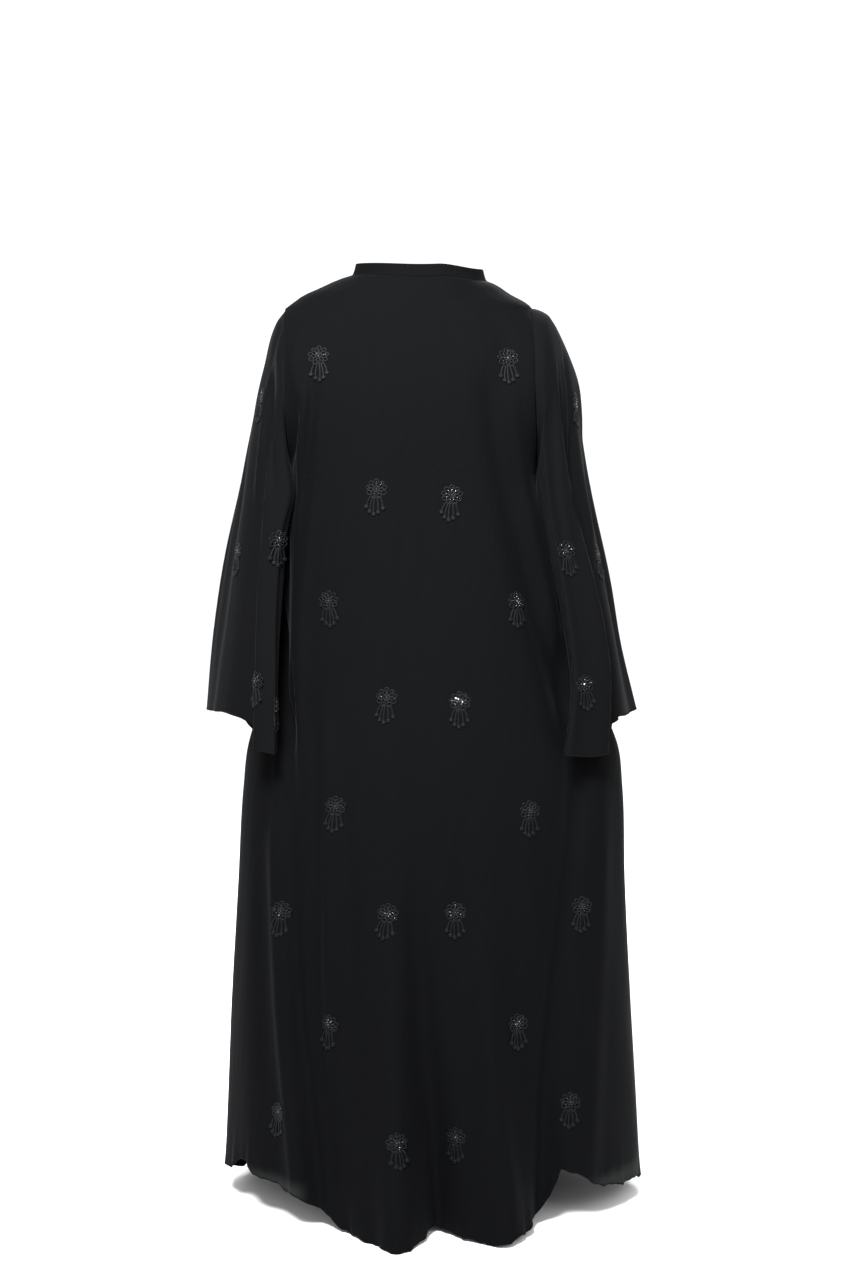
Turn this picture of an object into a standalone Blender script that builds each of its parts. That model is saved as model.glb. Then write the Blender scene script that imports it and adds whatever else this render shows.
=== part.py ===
"""Abaya cloak, worn form. Metres, +Z up, the front faces -Y, origin between the shoulders at neck level."""

import math

import bmesh
import bpy
import numpy as np
from mathutils import Vector
from mathutils.bvhtree import BVHTree

for thing in list(bpy.data.objects):
    bpy.data.objects.remove(thing)

WALL = 0.0016  # cloth
GAP = 0.0003  # at every seam
ARM_X, ARM_Z, ARM_H = 0.183, -0.1675, 0.1225  # armhole: half shoulder width, centre, half height
ARM_BACK, ARM_FRONT = 0.095, 0.088  # its reach behind and in front
LAP = 0.014  # each front passes the centre by this
BAND = 0.016  # neckband


def table(names, *rows):
    return {name: np.array(column, float) for name, column in zip(names.split(), zip(*rows))}


def read(source, name, at):
    """A column at any key (its first column), by a cubic through its rows."""
    keys, values = next(iter(source.values())), source[name]
    slope = np.gradient(values, keys)
    at = np.clip(at, keys[0], keys[-1])
    i = np.clip(np.searchsorted(keys, at) - 1, 0, len(keys) - 2)
    step = keys[i + 1] - keys[i]
    t = (at - keys[i]) / step
    return (
        values[i] * (1 + 2 * t) * (1 - t) ** 2
        + values[i + 1] * t * t * (3 - 2 * t)
        + step * t * (1 - t) * (slope[i] * (1 - t) - slope[i + 1] * t)
    )


def ease(a, b, x):
    t = np.clip((x - a) / (b - a), 0, 1)
    return t * t * (3 - 2 * t)


# Level sections of the body: distance below the origin, centre, half width, depth behind and in front, roundness
BODY = table(
    "down centre half back front round",
    (-0.005, 0.008, 0.098, 0.062, 0.072, 1.00),
    (0.000, 0.010, 0.112, 0.068, 0.078, 0.98),
    (0.0075, 0.013, 0.1275, 0.073, 0.084, 0.95),
    (0.015, 0.016, 0.140, 0.077, 0.088, 0.92),
    (0.024, 0.019, 0.158, 0.081, 0.092, 0.88),
    (0.0375, 0.022, 0.175, 0.086, 0.097, 0.84),
    (0.045, 0.024, 0.183, 0.089, 0.100, 0.82),
    (0.10, 0.023, 0.215, 0.107, 0.114, 0.76),
    (0.17, 0.022, 0.235, 0.124, 0.126, 0.72),
    (0.23, 0.019, 0.205, 0.132, 0.131, 0.67),
    (0.29, 0.016, 0.183, 0.138, 0.135, 0.63),
    (0.36, 0.011, 0.197, 0.146, 0.141, 0.70),
    (0.45, 0.005, 0.214, 0.157, 0.150, 0.80),
    (0.57, -0.004, 0.240, 0.172, 0.164, 0.90),
    (0.66, -0.010, 0.267, 0.184, 0.175, 0.97),
    (0.70, -0.012, 0.280, 0.189, 0.179, 0.98),
    (0.76, -0.012, 0.287, 0.196, 0.186, 1.00),
    (0.90, -0.010, 0.2935, 0.208, 0.198, 1.02),
    (1.10, -0.0095, 0.304, 0.223, 0.214, 1.05),
    (1.30, -0.0115, 0.3145, 0.235, 0.228, 1.08),
    (1.39, -0.0115, 0.3190, 0.243, 0.234, 1.08),
)

# Folds of the body: side (1 behind, -1 in front), start and end below the origin, x at the start, middle and end,
# height out of the cloth there (troughs are negative), width at start and end, skew
BODY_FOLDS = table(
    "side top low x_top x_mid x_low size_top size_low wide_top wide_low skew",
    (1, 0.10, 0.62, -0.088, -0.130, -0.205, -0.005, -0.010, 0.022, 0.030, 0.0),
    (1, 0.12, 0.60, 0.160, 0.172, 0.188, 0.005, 0.007, 0.012, 0.016, 0.0),
    (1, 0.40, 0.74, 0.205, 0.212, 0.222, -0.008, -0.016, 0.020, 0.028, 0.0),
    (1, 0.40, 0.74, -0.200, -0.212, -0.228, -0.008, -0.012, 0.020, 0.028, 0.0),
    (1, 0.70, 1.40, 0.225, 0.216, 0.190, 0.006, 0.014, 0.012, 0.018, 0.0),
    (1, 0.70, 1.40, 0.198, 0.193, 0.165, -0.005, -0.014, 0.010, 0.014, 0.0),
    (1, 0.70, 1.40, 0.160, 0.165, 0.140, -0.006, -0.012, 0.013, 0.030, 0.0),
    (1, 0.72, 1.40, 0.140, 0.142, 0.095, 0.004, 0.008, 0.010, 0.022, 0.0),
    (1, 0.78, 1.40, 0.040, 0.046, 0.036, 0.002, 0.062, 0.030, 0.040, 0.0),
    (1, 0.80, 1.40, 0.014, 0.004, -0.022, -0.003, -0.056, 0.020, 0.026, 0.0),
    (1, 0.82, 1.40, -0.085, -0.098, -0.118, 0.002, 0.046, 0.026, 0.038, 0.0),
    (1, 0.76, 1.40, -0.228, -0.200, -0.188, -0.010, -0.030, 0.030, 0.022, 0.0),
    (1, 0.84, 1.40, -0.262, -0.255, -0.245, 0.004, 0.008, 0.020, 0.024, 0.0),
    (-1, 0.66, 1.40, 0.240, 0.250, 0.256, 0.004, 0.016, 0.020, 0.024, 0.0),
    (-1, 0.70, 1.40, 0.180, 0.190, 0.196, -0.006, -0.022, 0.018, 0.026, 0.0),
    (-1, 0.74, 1.40, 0.120, 0.128, 0.132, 0.004, 0.024, 0.020, 0.028, 0.0),
    (-1, 0.78, 1.40, 0.050, 0.058, 0.066, -0.004, -0.026, 0.020, 0.026, 0.0),
    (-1, 0.76, 1.40, -0.070, -0.076, -0.070, 0.004, 0.022, 0.022, 0.030, 0.0),
    (-1, 0.72, 1.40, -0.125, -0.136, -0.140, -0.006, -0.026, 0.018, 0.026, 0.0),
    (-1, 0.68, 1.40, -0.190, -0.204, -0.212, 0.006, 0.022, 0.020, 0.026, 0.0),
    (-1, 0.66, 1.40, -0.240, -0.258, -0.268, -0.006, -0.018, 0.016, 0.020, 0.0),
    (-1, 0.12, 0.66, 0.135, 0.150, 0.170, -0.004, -0.008, 0.020, 0.026, 0.0),
    (-1, 0.12, 0.66, -0.095, -0.125, -0.160, -0.004, -0.009, 0.020, 0.026, 0.0),
)

# The hem clears the floor here: angle round the body from the left side, lift, width
HEM_LIFT = table(
    "angle lift wide",
    (10, 0.048, 24),
    (42, 0.040, 18),
    (133, 0.088, 10),
    (165, 0.036, 16),
    (205, 0.020, 22),
    (232, 0.012, 18),
    (318, 0.016, 20),
)


def body_base(theta, down):
    """The plain body at an angle (0 the left side, 90 degrees the centre back) and a distance below the origin."""
    centre, half, behind, ahead, power = (read(BODY, name, down) for name in ("centre", "half", "back", "front", "round"))
    rear = np.sin(theta) >= 0
    depth = np.where(rear, behind, ahead)
    edge = armhole_edge(down, rear) / depth
    half = np.where(edge > 0, ARM_X / (1 - edge ** (2 / power)) ** (power / 2), half)
    x = centre + half * np.sign(np.cos(theta)) * np.abs(np.cos(theta)) ** power
    y = depth * np.sign(np.sin(theta)) * np.abs(np.sin(theta)) ** power
    return x, y


def armhole_edge(down, rear):
    """How far behind or in front of the shoulder the armhole reaches at this level, 0 above and below it."""
    return np.where(rear, ARM_BACK, ARM_FRONT) * np.sqrt(np.clip(1 - ((-down - ARM_Z) / ARM_H) ** 2, 0, 1))


def first_angle(down, rear):
    """The angle at which a panel starts: the seam at the side, or the edge of the armhole."""
    depth = read(BODY, "back" if rear else "front", down)
    return np.arcsin(np.clip(armhole_edge(down, rear) / depth, 0, 1) ** (1 / read(BODY, "round", down)))


def body_folds(theta, down):
    x, y = body_base(theta, down)
    out = np.zeros(np.broadcast(theta, down).shape)
    centre = read(BODY, "centre", down)
    half = read(BODY, "half", down)
    for side, top, low, x0, x1, x2, size0, size1, wide0, wide1, skew in zip(*BODY_FOLDS.values()):
        t = np.clip((down - top) / (low - top), 0, 1)
        along = x0 * (1 - t) * (1 - 2 * t) + 4 * x1 * t * (1 - t) + x2 * t * (2 * t - 1)
        angle = np.arccos(np.clip((along - centre) / half, -0.995, 0.995)) * side
        px, py = body_base(angle, down)
        away = np.hypot(x - px, y - py) * np.sign(np.sin(theta - angle))
        wide = (wide0 + (wide1 - wide0) * t) * (1 + skew * np.sign(away))
        size = size0 + (size1 - size0) * t**1.5
        out += size * ease(top - 0.12, top + 0.04, down) * (1 - ease(low, low + 0.12, down)) * np.exp(-((away / wide) ** 2))
    return out


def body(theta, down, push=0.0):
    """The cloth's outer face, with its folds, its hem and its neckline."""
    x, y = body_base(theta, down)
    ax, ay = body_base(theta - 1e-3, down)
    bx, by = body_base(theta + 1e-3, down)
    nx, ny = by - ay, ax - bx
    far = np.hypot(nx, ny) + 1e-12
    push = push + body_folds(theta, down)
    degrees = np.degrees(theta) % 360
    lift = np.zeros_like(x)
    for angle, rise, wide in zip(*HEM_LIFT.values()):
        off = (degrees - angle + 180) % 360 - 180
        lift += rise * np.exp(-((off / wide) ** 2))
    middle = x - read(BODY, "centre", down)
    dip = np.where(np.sin(theta) < 0, 0.042, 0.003) * np.exp(-((middle / 0.058) ** 2))
    # the right shoulder starts a little lower beside the neck
    dip = dip + 0.0085 * ease(-0.02, -0.085, x) * (1 - ease(0.02, 0.045, down))
    z = -down + lift * ease(0.85, 1.39, down) - dip * np.clip(1 - (down + 0.005) / 0.24, 0, 1) ** 1.5
    return np.stack((x + nx / far * push, y + ny / far * push, z), axis=-1)


# Sections of each sleeve: how far along, then the middle, the half vector to the outer side, the half vector to
# the back, and how far the two ends of the flattened tube bend in
SLEEVES = {
    1: table(
        "along mx my mz ax ay az bx by bz bow",
        (0.00, 0.2035, 0.0035, -0.1675, 0.0037, 0.000, 0.1225, 0.001, 0.0915, 0.000, 0.000),
        (0.02, 0.2075, 0.0033, -0.1715, 0.0060, 0.000, 0.1190, -0.001, 0.0915, 0.000, 0.000),
        (0.05, 0.2130, 0.0030, -0.1850, 0.0105, 0.000, 0.1130, -0.006, 0.0915, -0.001, 0.000),
        (0.14, 0.2230, 0.0030, -0.2325, 0.0150, 0.000, 0.1025, -0.018, 0.0920, -0.002, 0.000),
        (0.30, 0.2336, 0.0030, -0.3000, 0.0210, 0.001, 0.0830, -0.028, 0.0960, -0.004, 0.000),
        (0.50, 0.2470, 0.0040, -0.3900, 0.0220, 0.002, 0.0580, -0.038, 0.1050, -0.008, 0.002),
        (0.70, 0.2635, 0.0060, -0.4900, 0.0220, 0.005, 0.0360, -0.048, 0.1150, -0.012, 0.008),
        (0.85, 0.2780, 0.0090, -0.5800, 0.0200, 0.008, 0.0180, -0.056, 0.1250, -0.015, 0.017),
        (1.00, 0.2920, 0.0120, -0.6760, 0.0200, 0.008, 0.0040, -0.060, 0.1350, -0.017, 0.027),
    ),
    -1: table(
        "along mx my mz ax ay az bx by bz bow",
        (0.00, 0.1624, 0.0035, -0.1675, -0.0036, 0.000, 0.1225, 0.001, 0.0915, 0.000, 0.000),
        (0.02, 0.1715, 0.0033, -0.1690, 0.0035, 0.000, 0.1225, -0.003, 0.0915, 0.000, 0.000),
        (0.05, 0.1820, 0.0030, -0.1800, 0.0085, 0.000, 0.1155, -0.009, 0.0915, -0.001, 0.000),
        (0.09, 0.1902, 0.0030, -0.2010, 0.0133, 0.000, 0.1110, -0.016, 0.0915, -0.001, 0.000),
        (0.14, 0.1965, 0.0030, -0.2325, 0.0200, 0.000, 0.1050, -0.026, 0.0920, -0.002, 0.000),
        (0.30, 0.2055, 0.0030, -0.3000, 0.0200, 0.001, 0.0830, -0.030, 0.0960, -0.004, 0.000),
        (0.50, 0.2225, 0.0040, -0.3900, 0.0180, 0.002, 0.0580, -0.034, 0.1050, -0.008, 0.002),
        (0.70, 0.2460, 0.0060, -0.4900, 0.0180, 0.005, 0.0360, -0.038, 0.1130, -0.012, 0.008),
        (0.85, 0.2645, 0.0090, -0.5800, 0.0180, 0.008, 0.0180, -0.042, 0.1220, -0.015, 0.016),
        (1.00, 0.2810, 0.0120, -0.6760, 0.0170, 0.008, 0.0040, -0.060, 0.1320, -0.017, 0.026),
    ),
}

# Folds of each sleeve: angle round it at the armhole and the cuff (0 outside, 90 behind), where it starts and
# ends along it, height out, width in degrees, and how far its crest leans to the outer side
SLEEVE_FOLDS = {
    1: table(
        "start end first last size wide lean",
        (58, 62, 0.10, 1.10, 0.010, 9, 0.010),
        (40, 46, 0.12, 1.10, -0.016, 9, -0.006),
        (104, 100, 0.20, 1.10, -0.007, 12, 0.000),
        (8, 12, 0.25, 1.10, 0.006, 16, 0.000),
        (-30, -26, 0.20, 1.10, -0.008, 16, 0.000),
        (-72, -70, 0.25, 1.10, 0.008, 14, 0.000),
        (-105, -100, 0.30, 1.10, -0.006, 14, 0.000),
    ),
    -1: table(
        "start end first last size wide lean",
        (50, 52, 0.12, 1.10, 0.010, 9, 0.010),
        (34, 36, 0.12, 1.10, -0.016, 9, -0.006),
        (84, 86, 0.10, 1.10, 0.008, 8, -0.006),
        (97, 99, 0.10, 1.10, -0.013, 8, 0.005),
        (4, 6, 0.25, 1.10, 0.006, 16, 0.000),
        (-34, -30, 0.20, 1.10, -0.008, 16, 0.000),
        (-76, -72, 0.25, 1.10, 0.008, 14, 0.000),
        (-108, -102, 0.30, 1.10, -0.006, 14, 0.000),
    ),
}


def sleeve_base(side, angle, along):
    mx, my, mz, ax, ay, az, bx, by, bz, bow = (read(SLEEVES[side], name, along) for name in list(SLEEVES[side])[1:])
    c, s = np.cos(angle), np.sin(angle)
    x = mx + ax * c + bx * s - bow * s * s
    y = my + ay * c + by * s + 0.3 * bow * s * s
    z = mz + az * c + bz * s
    seam = 1 - ease(0, 0.04, along)
    x = x + seam * (ARM_X + side * read(BODY, "centre", -z) - (mx + ax * c + bx * s))
    y = y + seam * (np.where(s > 0, ARM_BACK, ARM_FRONT) * s - (my + by * s))
    return np.stack((x * side, y, z), axis=-1)


def sleeve(side, angle, along, clear=0.004):
    """The sleeve's outer face, with its folds, held clear of the body that it hangs over."""
    point = sleeve_base(side, angle, along)
    round_ = sleeve_base(side, angle + 1e-3, along) - sleeve_base(side, angle - 1e-3, along)
    down = sleeve_base(side, angle, np.minimum(along + 1e-3, 1)) - sleeve_base(side, angle, np.minimum(along + 1e-3, 1) - 2e-3)
    out = side * np.cross(down, round_)
    out /= np.linalg.norm(out, axis=-1, keepdims=True) + 1e-15
    tangent = -round_ / (np.linalg.norm(round_, axis=-1, keepdims=True) + 1e-15)
    for start, end, first, last, size, wide, lean in zip(*SLEEVE_FOLDS[side].values()):
        t = np.clip((along - first) / (last - first), 0, 1)
        off = (np.degrees(angle) - (start + (end - start) * along) + 180) % 360 - 180
        bump = (np.exp(-((off / wide) ** 2)) * ease(first - 0.08, first + 0.35, along))[..., None]
        point = point + bump * (size * out + lean * tangent)
    # held clear of the body's cloth, below the armhole
    below = -point[..., 2]
    centre, half = read(BODY, "centre", below), read(BODY, "half", below)
    power = read(BODY, "round", below)
    depth = np.where(point[..., 1] >= 0, read(BODY, "back", below), read(BODY, "front", below))
    qx, qy = (point[..., 0] - centre) / half, point[..., 1] / depth
    theta = np.arctan2(np.sign(qy) * np.abs(qy) ** (1 / power), np.sign(qx) * np.abs(qx) ** (1 / power))
    size = (np.abs(qx) ** (2 / power) + np.abs(qy) ** (2 / power)) ** (power / 2)
    reach = np.hypot(point[..., 0] - centre, point[..., 1])
    free = reach * (1 - 1 / size) - body_folds(theta, below)
    need = clear * ease(0.288, 0.34, below)
    soft = 0.004
    move = soft * np.log1p(np.exp(np.clip((need - free) / soft, -30, 30))) * ease(0.288, 0.31, below)
    point[..., 0] += (point[..., 0] - centre) / reach * move
    point[..., 1] += point[..., 1] / reach * move
    return point


def inset(grid, edges, by=0.0006, closed=False):
    """Moves the named edges of a grid in along its surface, square to each edge, so that the walls stay apart."""
    for edge in edges:
        line, inner = {"first": (grid[:, 0], grid[:, 1]), "last": (grid[:, -1], grid[:, -2]), "top": (grid[0], grid[1])}[edge]
        if closed:
            run = np.roll(line, -1, axis=0) - np.roll(line, 1, axis=0)
        else:
            run = np.gradient(line, axis=0)
        run /= np.linalg.norm(run, axis=-1, keepdims=True)
        step = inner - line
        step -= (step * run).sum(axis=-1, keepdims=True) * run
        line += step / (np.linalg.norm(step, axis=-1, keepdims=True) + 1e-12) * by
    return grid


COLLECTION = bpy.data.collections.new("abaya_cloak")
bpy.context.scene.collection.children.link(COLLECTION)


def material(name, colour, roughness):
    made = bpy.data.materials.new(name)
    made.use_nodes = True
    shader = made.node_tree.nodes["Principled BSDF"]
    shader.inputs["Base Color"].default_value = (*colour, 1)
    shader.inputs["Roughness"].default_value = roughness
    return made


def add(name, points, faces, colour, roughness):
    mesh = bpy.data.meshes.new(name)
    mesh.from_pydata([tuple(map(float, p)) for p in points], [], faces)
    mesh.validate()
    item = bpy.data.objects.new(name, mesh)
    item.data.materials.append(material(name, colour, roughness))
    COLLECTION.objects.link(item)
    return item


def cloth(name, grid, closed=False, flip=False):
    """A panel from its grid of points (rows down, columns round), with the wall on its inner side."""
    rows, columns = grid.shape[:2]
    faces = []
    for i in range(rows - 1):
        for j in range(columns if closed else columns - 1):
            k = (j + 1) % columns
            a, b, c, d = i * columns + j, i * columns + k, (i + 1) * columns + k, (i + 1) * columns + j
            for face in ((a, d, c), (a, c, b)):
                faces.append(face[::-1] if flip else face)
    points = grid.reshape(-1, 3)
    item = add(name, points, faces, (0.012, 0.013, 0.015), 0.8)
    wall = item.modifiers.new("wall", "SOLIDIFY")
    wall.thickness, wall.offset, wall.use_even_offset = WALL, -1, False
    return BVHTree.FromPolygons([Vector(p) for p in points], faces)


# Levels of the body's rows: the shoulder, the armhole in even steps round it, then the skirt down to the hem
levels = np.concatenate(
    (
        [-0.005, 0.008, 0.026],
        -ARM_Z - ARM_H * np.cos(np.linspace(0, math.pi, 15)),
        [0.345, 0.42, 0.50, 0.58, 0.66, 0.74, 0.83, 0.93, 1.03, 1.13, 1.23, 1.315, 1.39],
    )
)[:, None]

trees = {}

# Back: one panel between the two side seams and armholes
across = np.linspace(0, 1, 29)[None, :]
start = first_angle(levels, True)
grid = body(start + (math.pi - 2 * start) * across, levels)
trees["back"] = cloth("back", inset(grid, ("first", "last", "top")))

# Fronts: the right one laps over the left one at the centre
for name, sign in (("front_left", 1), ("front_right", -1)):
    across = np.linspace(0, 1, 15)[None, :]
    start = first_angle(levels, False)
    half = read(BODY, "half", levels)
    over = np.arcsin((LAP / half) ** (1 / read(BODY, "round", levels)))
    turn = start + (math.pi / 2 + over - start) * across
    theta = -turn if sign == 1 else math.pi + turn
    x = body_base(theta, levels)[0] - read(BODY, "centre", levels)
    # further in where the neckline slopes
    under = -(WALL + 0.0014) * (1 + 1.3 * ease(0.18, 0.02, levels)) * ease(0.045, 0.020, x) if sign == 1 else 0.0
    grid = body(theta, levels, under)
    trees[name] = cloth(name, inset(grid, ("first", "top")), flip=sign == 1)

# Sleeves: open tubes from the armhole loop to the cuff, with more columns where the deep folds are
for name, side in (("sleeve_left", 1), ("sleeve_right", -1)):
    along = np.array([0, 0.05, 0.12, 0.20, 0.28, 0.36, 0.44, 0.52, 0.60, 0.68, 0.76, 0.84, 0.92, 1.0])[:, None]
    angle = np.radians(np.linspace(0, 360, 29)[:-1])[None, :]
    angle = angle - 0.52 * ease(0, 0.25, along) * np.sin(angle - math.radians(66))
    grid = sleeve(side, angle, along, 0.007)
    trees[name] = cloth(name, inset(grid, ("top",), 0.0016, True), closed=True, flip=side == -1)

# Neckband: stands on the neckline, its ends lapped at the centre front
turn = np.linspace(0, 1, 45)[None, :]
over = math.asin(LAP / 0.098)
theta = -math.pi / 2 - over + (2 * math.pi + 2 * over) * turn
rise = np.array([1.0, 0.5, 0.0])[:, None]
foot = body(theta, np.full_like(theta, -0.005))
# the end that starts on the left lies under the end that comes round from the right
beneath = (WALL + 0.0009) * (1 - ease(over * 2, over * 4, (turn * (2 * math.pi + 2 * over))))
radial = foot[..., :2] / np.linalg.norm(foot[..., :2], axis=-1, keepdims=True)
grid = np.repeat(foot, 3, axis=0)
grid[..., 2] += GAP + rise * BAND
grid[..., :2] -= radial * (0.004 * rise + beneath)[..., None]
trees["neckband"] = cloth("neckband", grid)

# Lace motifs: a flower of nine petals with five bars that fan down from it, sewn on at these places
PETALS, FLOWER_W, FLOWER_H, FLOWER_T = 9, 0.032, 0.0285, 0.0016
BARS = table(
    "x y wide",
    (-0.0144, -0.026, 0.0052),
    (-0.0100, -0.033, 0.0052),
    (-0.0040, -0.037, 0.0052),
    (0.0024, -0.0345, 0.0052),
    (0.0100, -0.029, 0.0052),
)
ON_BODY = table(
    "rear x z",
    (1, 0.154, -0.126), (1, -0.120, -0.128), (1, 0.070, -0.321), (1, -0.039, -0.328), (1, 0.139, -0.481),
    (1, -0.133, -0.484), (1, 0.055, -0.621), (1, -0.048, -0.624), (1, 0.132, -0.779), (1, -0.152, -0.783),
    (1, 0.212, -0.937), (1, 0.054, -0.925), (1, -0.041, -0.926), (1, -0.231, -0.931), (1, 0.141, -1.093),
    (1, -0.131, -1.090), (1, 0.214, -1.233), (1, 0.040, -1.249), (1, -0.041, -1.250), (1, -0.211, -1.215),
    (0, 0.115, -0.150), (0, 0.062, -0.335), (0, 0.150, -0.480), (0, 0.060, -0.640),
    (0, 0.145, -0.800), (0, 0.068, -0.945), (0, 0.150, -1.100), (0, 0.064, -1.255),
    (0, -0.100, -0.155), (0, -0.062, -0.340), (0, -0.140, -0.490), (0, -0.062, -0.632),
    (0, -0.150, -0.790), (0, -0.064, -0.940), (0, -0.140, -1.095), (0, -0.064, -1.250),
)
ON_SLEEVES = table(
    "side angle along",
    (1, 4, 0.24), (1, -6, 0.64), (1, 68, 0.88), (1, 76, 0.50), (1, 92, 0.90),
    (-1, -4, 0.25), (-1, -14, 0.65), (-1, 60, 0.87), (-1, 74, 0.55),
)


def add_motif(name, tree, point, normal):
    """One motif, laid on the facets under it: each of its points is dropped on them along the normal."""
    up = (Vector((0, 0, 1)) - normal * normal.z).normalized()
    right = up.cross(normal)

    def surface(u, v):
        start = point + right * u + up * v + normal * 0.02
        hit = tree.ray_cast(start, -normal, 0.04)[0]
        return (hit - point).dot(normal) if hit else 0.0

    flat = []
    for k in range(2 * PETALS):
        turn = math.radians(-50 + 180 / PETALS * k)
        reach = 0.5 if k % 2 == 0 else 0.43
        flat.append((FLOWER_W * reach * math.sin(turn), -FLOWER_H * reach * math.cos(turn)))
    rim = len(flat)
    corners = [(u, v, 0.0) for u, v in flat] + [(u, v, FLOWER_T) for u, v in flat]
    corners += [(0, 0, 0.0), (0, 0, 0.0026)]
    faces, under = [], []
    for k in range(rim):
        m = (k + 1) % rim
        faces += [(2 * rim, m, k), (2 * rim + 1, rim + k, rim + m)]
        under.append((2 * rim, m, k))
        if k >= len(BARS["x"]):
            faces.append((k, m, rim + m, rim + k))
            continue
        # a bar: from this side of the flower to a narrow middle and a round end
        ends = [k, m, rim + m, rim + k]
        root = ((flat[k][0] + flat[m][0]) / 2, (flat[k][1] + flat[m][1]) / 2)
        run = (BARS["x"][k] - root[0], BARS["y"][k] - root[1])
        far = math.hypot(*run)
        out = (-run[1] / far, run[0] / far)
        for part, wide, thick in ((0.55, 0.0026, 0.0014), (1.0, BARS["wide"][k], 0.0014)):
            u, v = root[0] + run[0] * part, root[1] + run[1] * part
            first = len(corners)
            for sign, height in ((-1, 0.0), (1, 0.0), (1, thick), (-1, thick)):
                corners.append((u + sign * out[0] * wide / 2, v + sign * out[1] * wide / 2, height))
            new = [first, first + 1, first + 2, first + 3]
            for i in range(4):
                j = (i + 1) % 4
                faces.append((ends[i], ends[j], new[j], new[i]))
            under += [(ends[0], ends[1], new[1]), (ends[0], new[1], new[0])]
            ends = new
        faces.append(tuple(ends))
    ground = [surface(u, v) for u, v, _ in corners]
    lift = 0.0
    for a, b, c in under:
        for i in range(5):
            for j in range(5 - i):
                p, q = i / 4, j / 4
                r = 1 - p - q
                u = corners[a][0] * p + corners[b][0] * q + corners[c][0] * r
                v = corners[a][1] * p + corners[b][1] * q + corners[c][1] * r
                lift = max(lift, surface(u, v) - (ground[a] * p + ground[b] * q + ground[c] * r))
    lift += GAP + 0.00005
    points = [point + right * u + up * v + normal * (g + h + lift) for (u, v, h), g in zip(corners, ground)]
    item = add(name, points, faces, (0.03, 0.03, 0.033), 0.45)
    mesh = bmesh.new()
    mesh.from_mesh(item.data)
    bmesh.ops.recalc_face_normals(mesh, faces=mesh.faces)
    bmesh.ops.triangulate(mesh, faces=mesh.faces, quad_method="FIXED")
    mesh.to_mesh(item.data)
    mesh.free()
    return lift


def facing(tree, point, guess):
    """The cloth's mean normal round a point, from a ring of casts."""
    side = guess.cross(Vector((0, 0, 1))).normalized()
    total = Vector((0, 0, 0))
    for du, dv in ((0, 0), (0.012, 0), (-0.012, 0), (0, 0.012), (0, -0.02), (0, -0.032)):
        hit = tree.ray_cast(point + side * du + Vector((0, 0, dv)) + guess * 0.02, -guess, 0.06)
        if hit[0]:
            total += hit[1] if hit[1].dot(guess) > 0 else -hit[1]
    return total.normalized()


count = 0
for rear, x, z in zip(*ON_BODY.values()):
    panel = "back" if rear else ("front_left" if x > 0 else "front_right")
    toward = Vector((0, 1 if rear else -1, 0))
    point = trees[panel].ray_cast(Vector((x, toward.y, z)), -toward)[0]
    count += 1
    add_motif(f"motif_{count:02d}", trees[panel], point, facing(trees[panel], point, toward))
for side, angle, along in zip(*ON_SLEEVES.values()):
    panel = "sleeve_left" if side > 0 else "sleeve_right"
    spot = sleeve(int(side), np.radians(np.array([angle])), np.array([along]), 0.007)[0]
    wide = sleeve(int(side), np.radians(np.array([angle - 6, angle + 6])), np.array([along, along]), 0.007)
    tall = sleeve(int(side), np.radians(np.array([angle, angle])), np.array([along - 0.03, along + 0.03]), 0.007)
    guess = Vector(np.cross(tall[1] - tall[0], wide[1] - wide[0]) * side).normalized()
    hit = trees[panel].ray_cast(Vector(spot) + guess * 0.02, -guess, 0.06)[0]
    count += 1
    add_motif(f"motif_{count:02d}", trees[panel], hit, facing(trees[panel], hit, guess))
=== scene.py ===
import math

import bpy
import numpy as np
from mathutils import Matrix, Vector
from mathutils.bvhtree import BVHTree


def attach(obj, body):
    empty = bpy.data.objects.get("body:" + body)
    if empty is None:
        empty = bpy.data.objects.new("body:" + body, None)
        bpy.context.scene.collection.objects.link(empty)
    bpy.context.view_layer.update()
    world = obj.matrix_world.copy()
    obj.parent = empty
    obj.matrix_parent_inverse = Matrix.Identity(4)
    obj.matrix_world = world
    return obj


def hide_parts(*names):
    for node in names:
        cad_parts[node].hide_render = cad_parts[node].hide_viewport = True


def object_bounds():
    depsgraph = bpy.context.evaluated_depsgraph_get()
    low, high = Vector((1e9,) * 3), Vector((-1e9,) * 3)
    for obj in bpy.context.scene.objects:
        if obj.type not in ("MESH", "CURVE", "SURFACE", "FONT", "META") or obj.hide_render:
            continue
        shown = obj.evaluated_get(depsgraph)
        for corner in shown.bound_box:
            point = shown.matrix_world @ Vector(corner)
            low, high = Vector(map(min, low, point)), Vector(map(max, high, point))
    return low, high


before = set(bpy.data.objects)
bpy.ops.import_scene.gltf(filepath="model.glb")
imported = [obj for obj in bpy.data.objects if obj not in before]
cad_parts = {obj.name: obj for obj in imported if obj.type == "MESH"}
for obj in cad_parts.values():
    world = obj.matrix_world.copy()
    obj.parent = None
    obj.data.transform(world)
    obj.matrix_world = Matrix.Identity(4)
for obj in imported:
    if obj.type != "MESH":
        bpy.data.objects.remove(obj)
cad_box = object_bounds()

# ---------------------------------------------------------------------------------------------------------------
# The back: one panel of black crepe from the neckline to the hem, cut round both armholes and sewn to the fronts
# along the shoulders and sides. It hangs straight from the shoulder blades and breaks into soft folds below the hip.


def table(names, *rows):
    """Rows of numbers as named columns."""
    return {name: np.array(column, float) for name, column in zip(names.split(), zip(*rows))}


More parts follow.
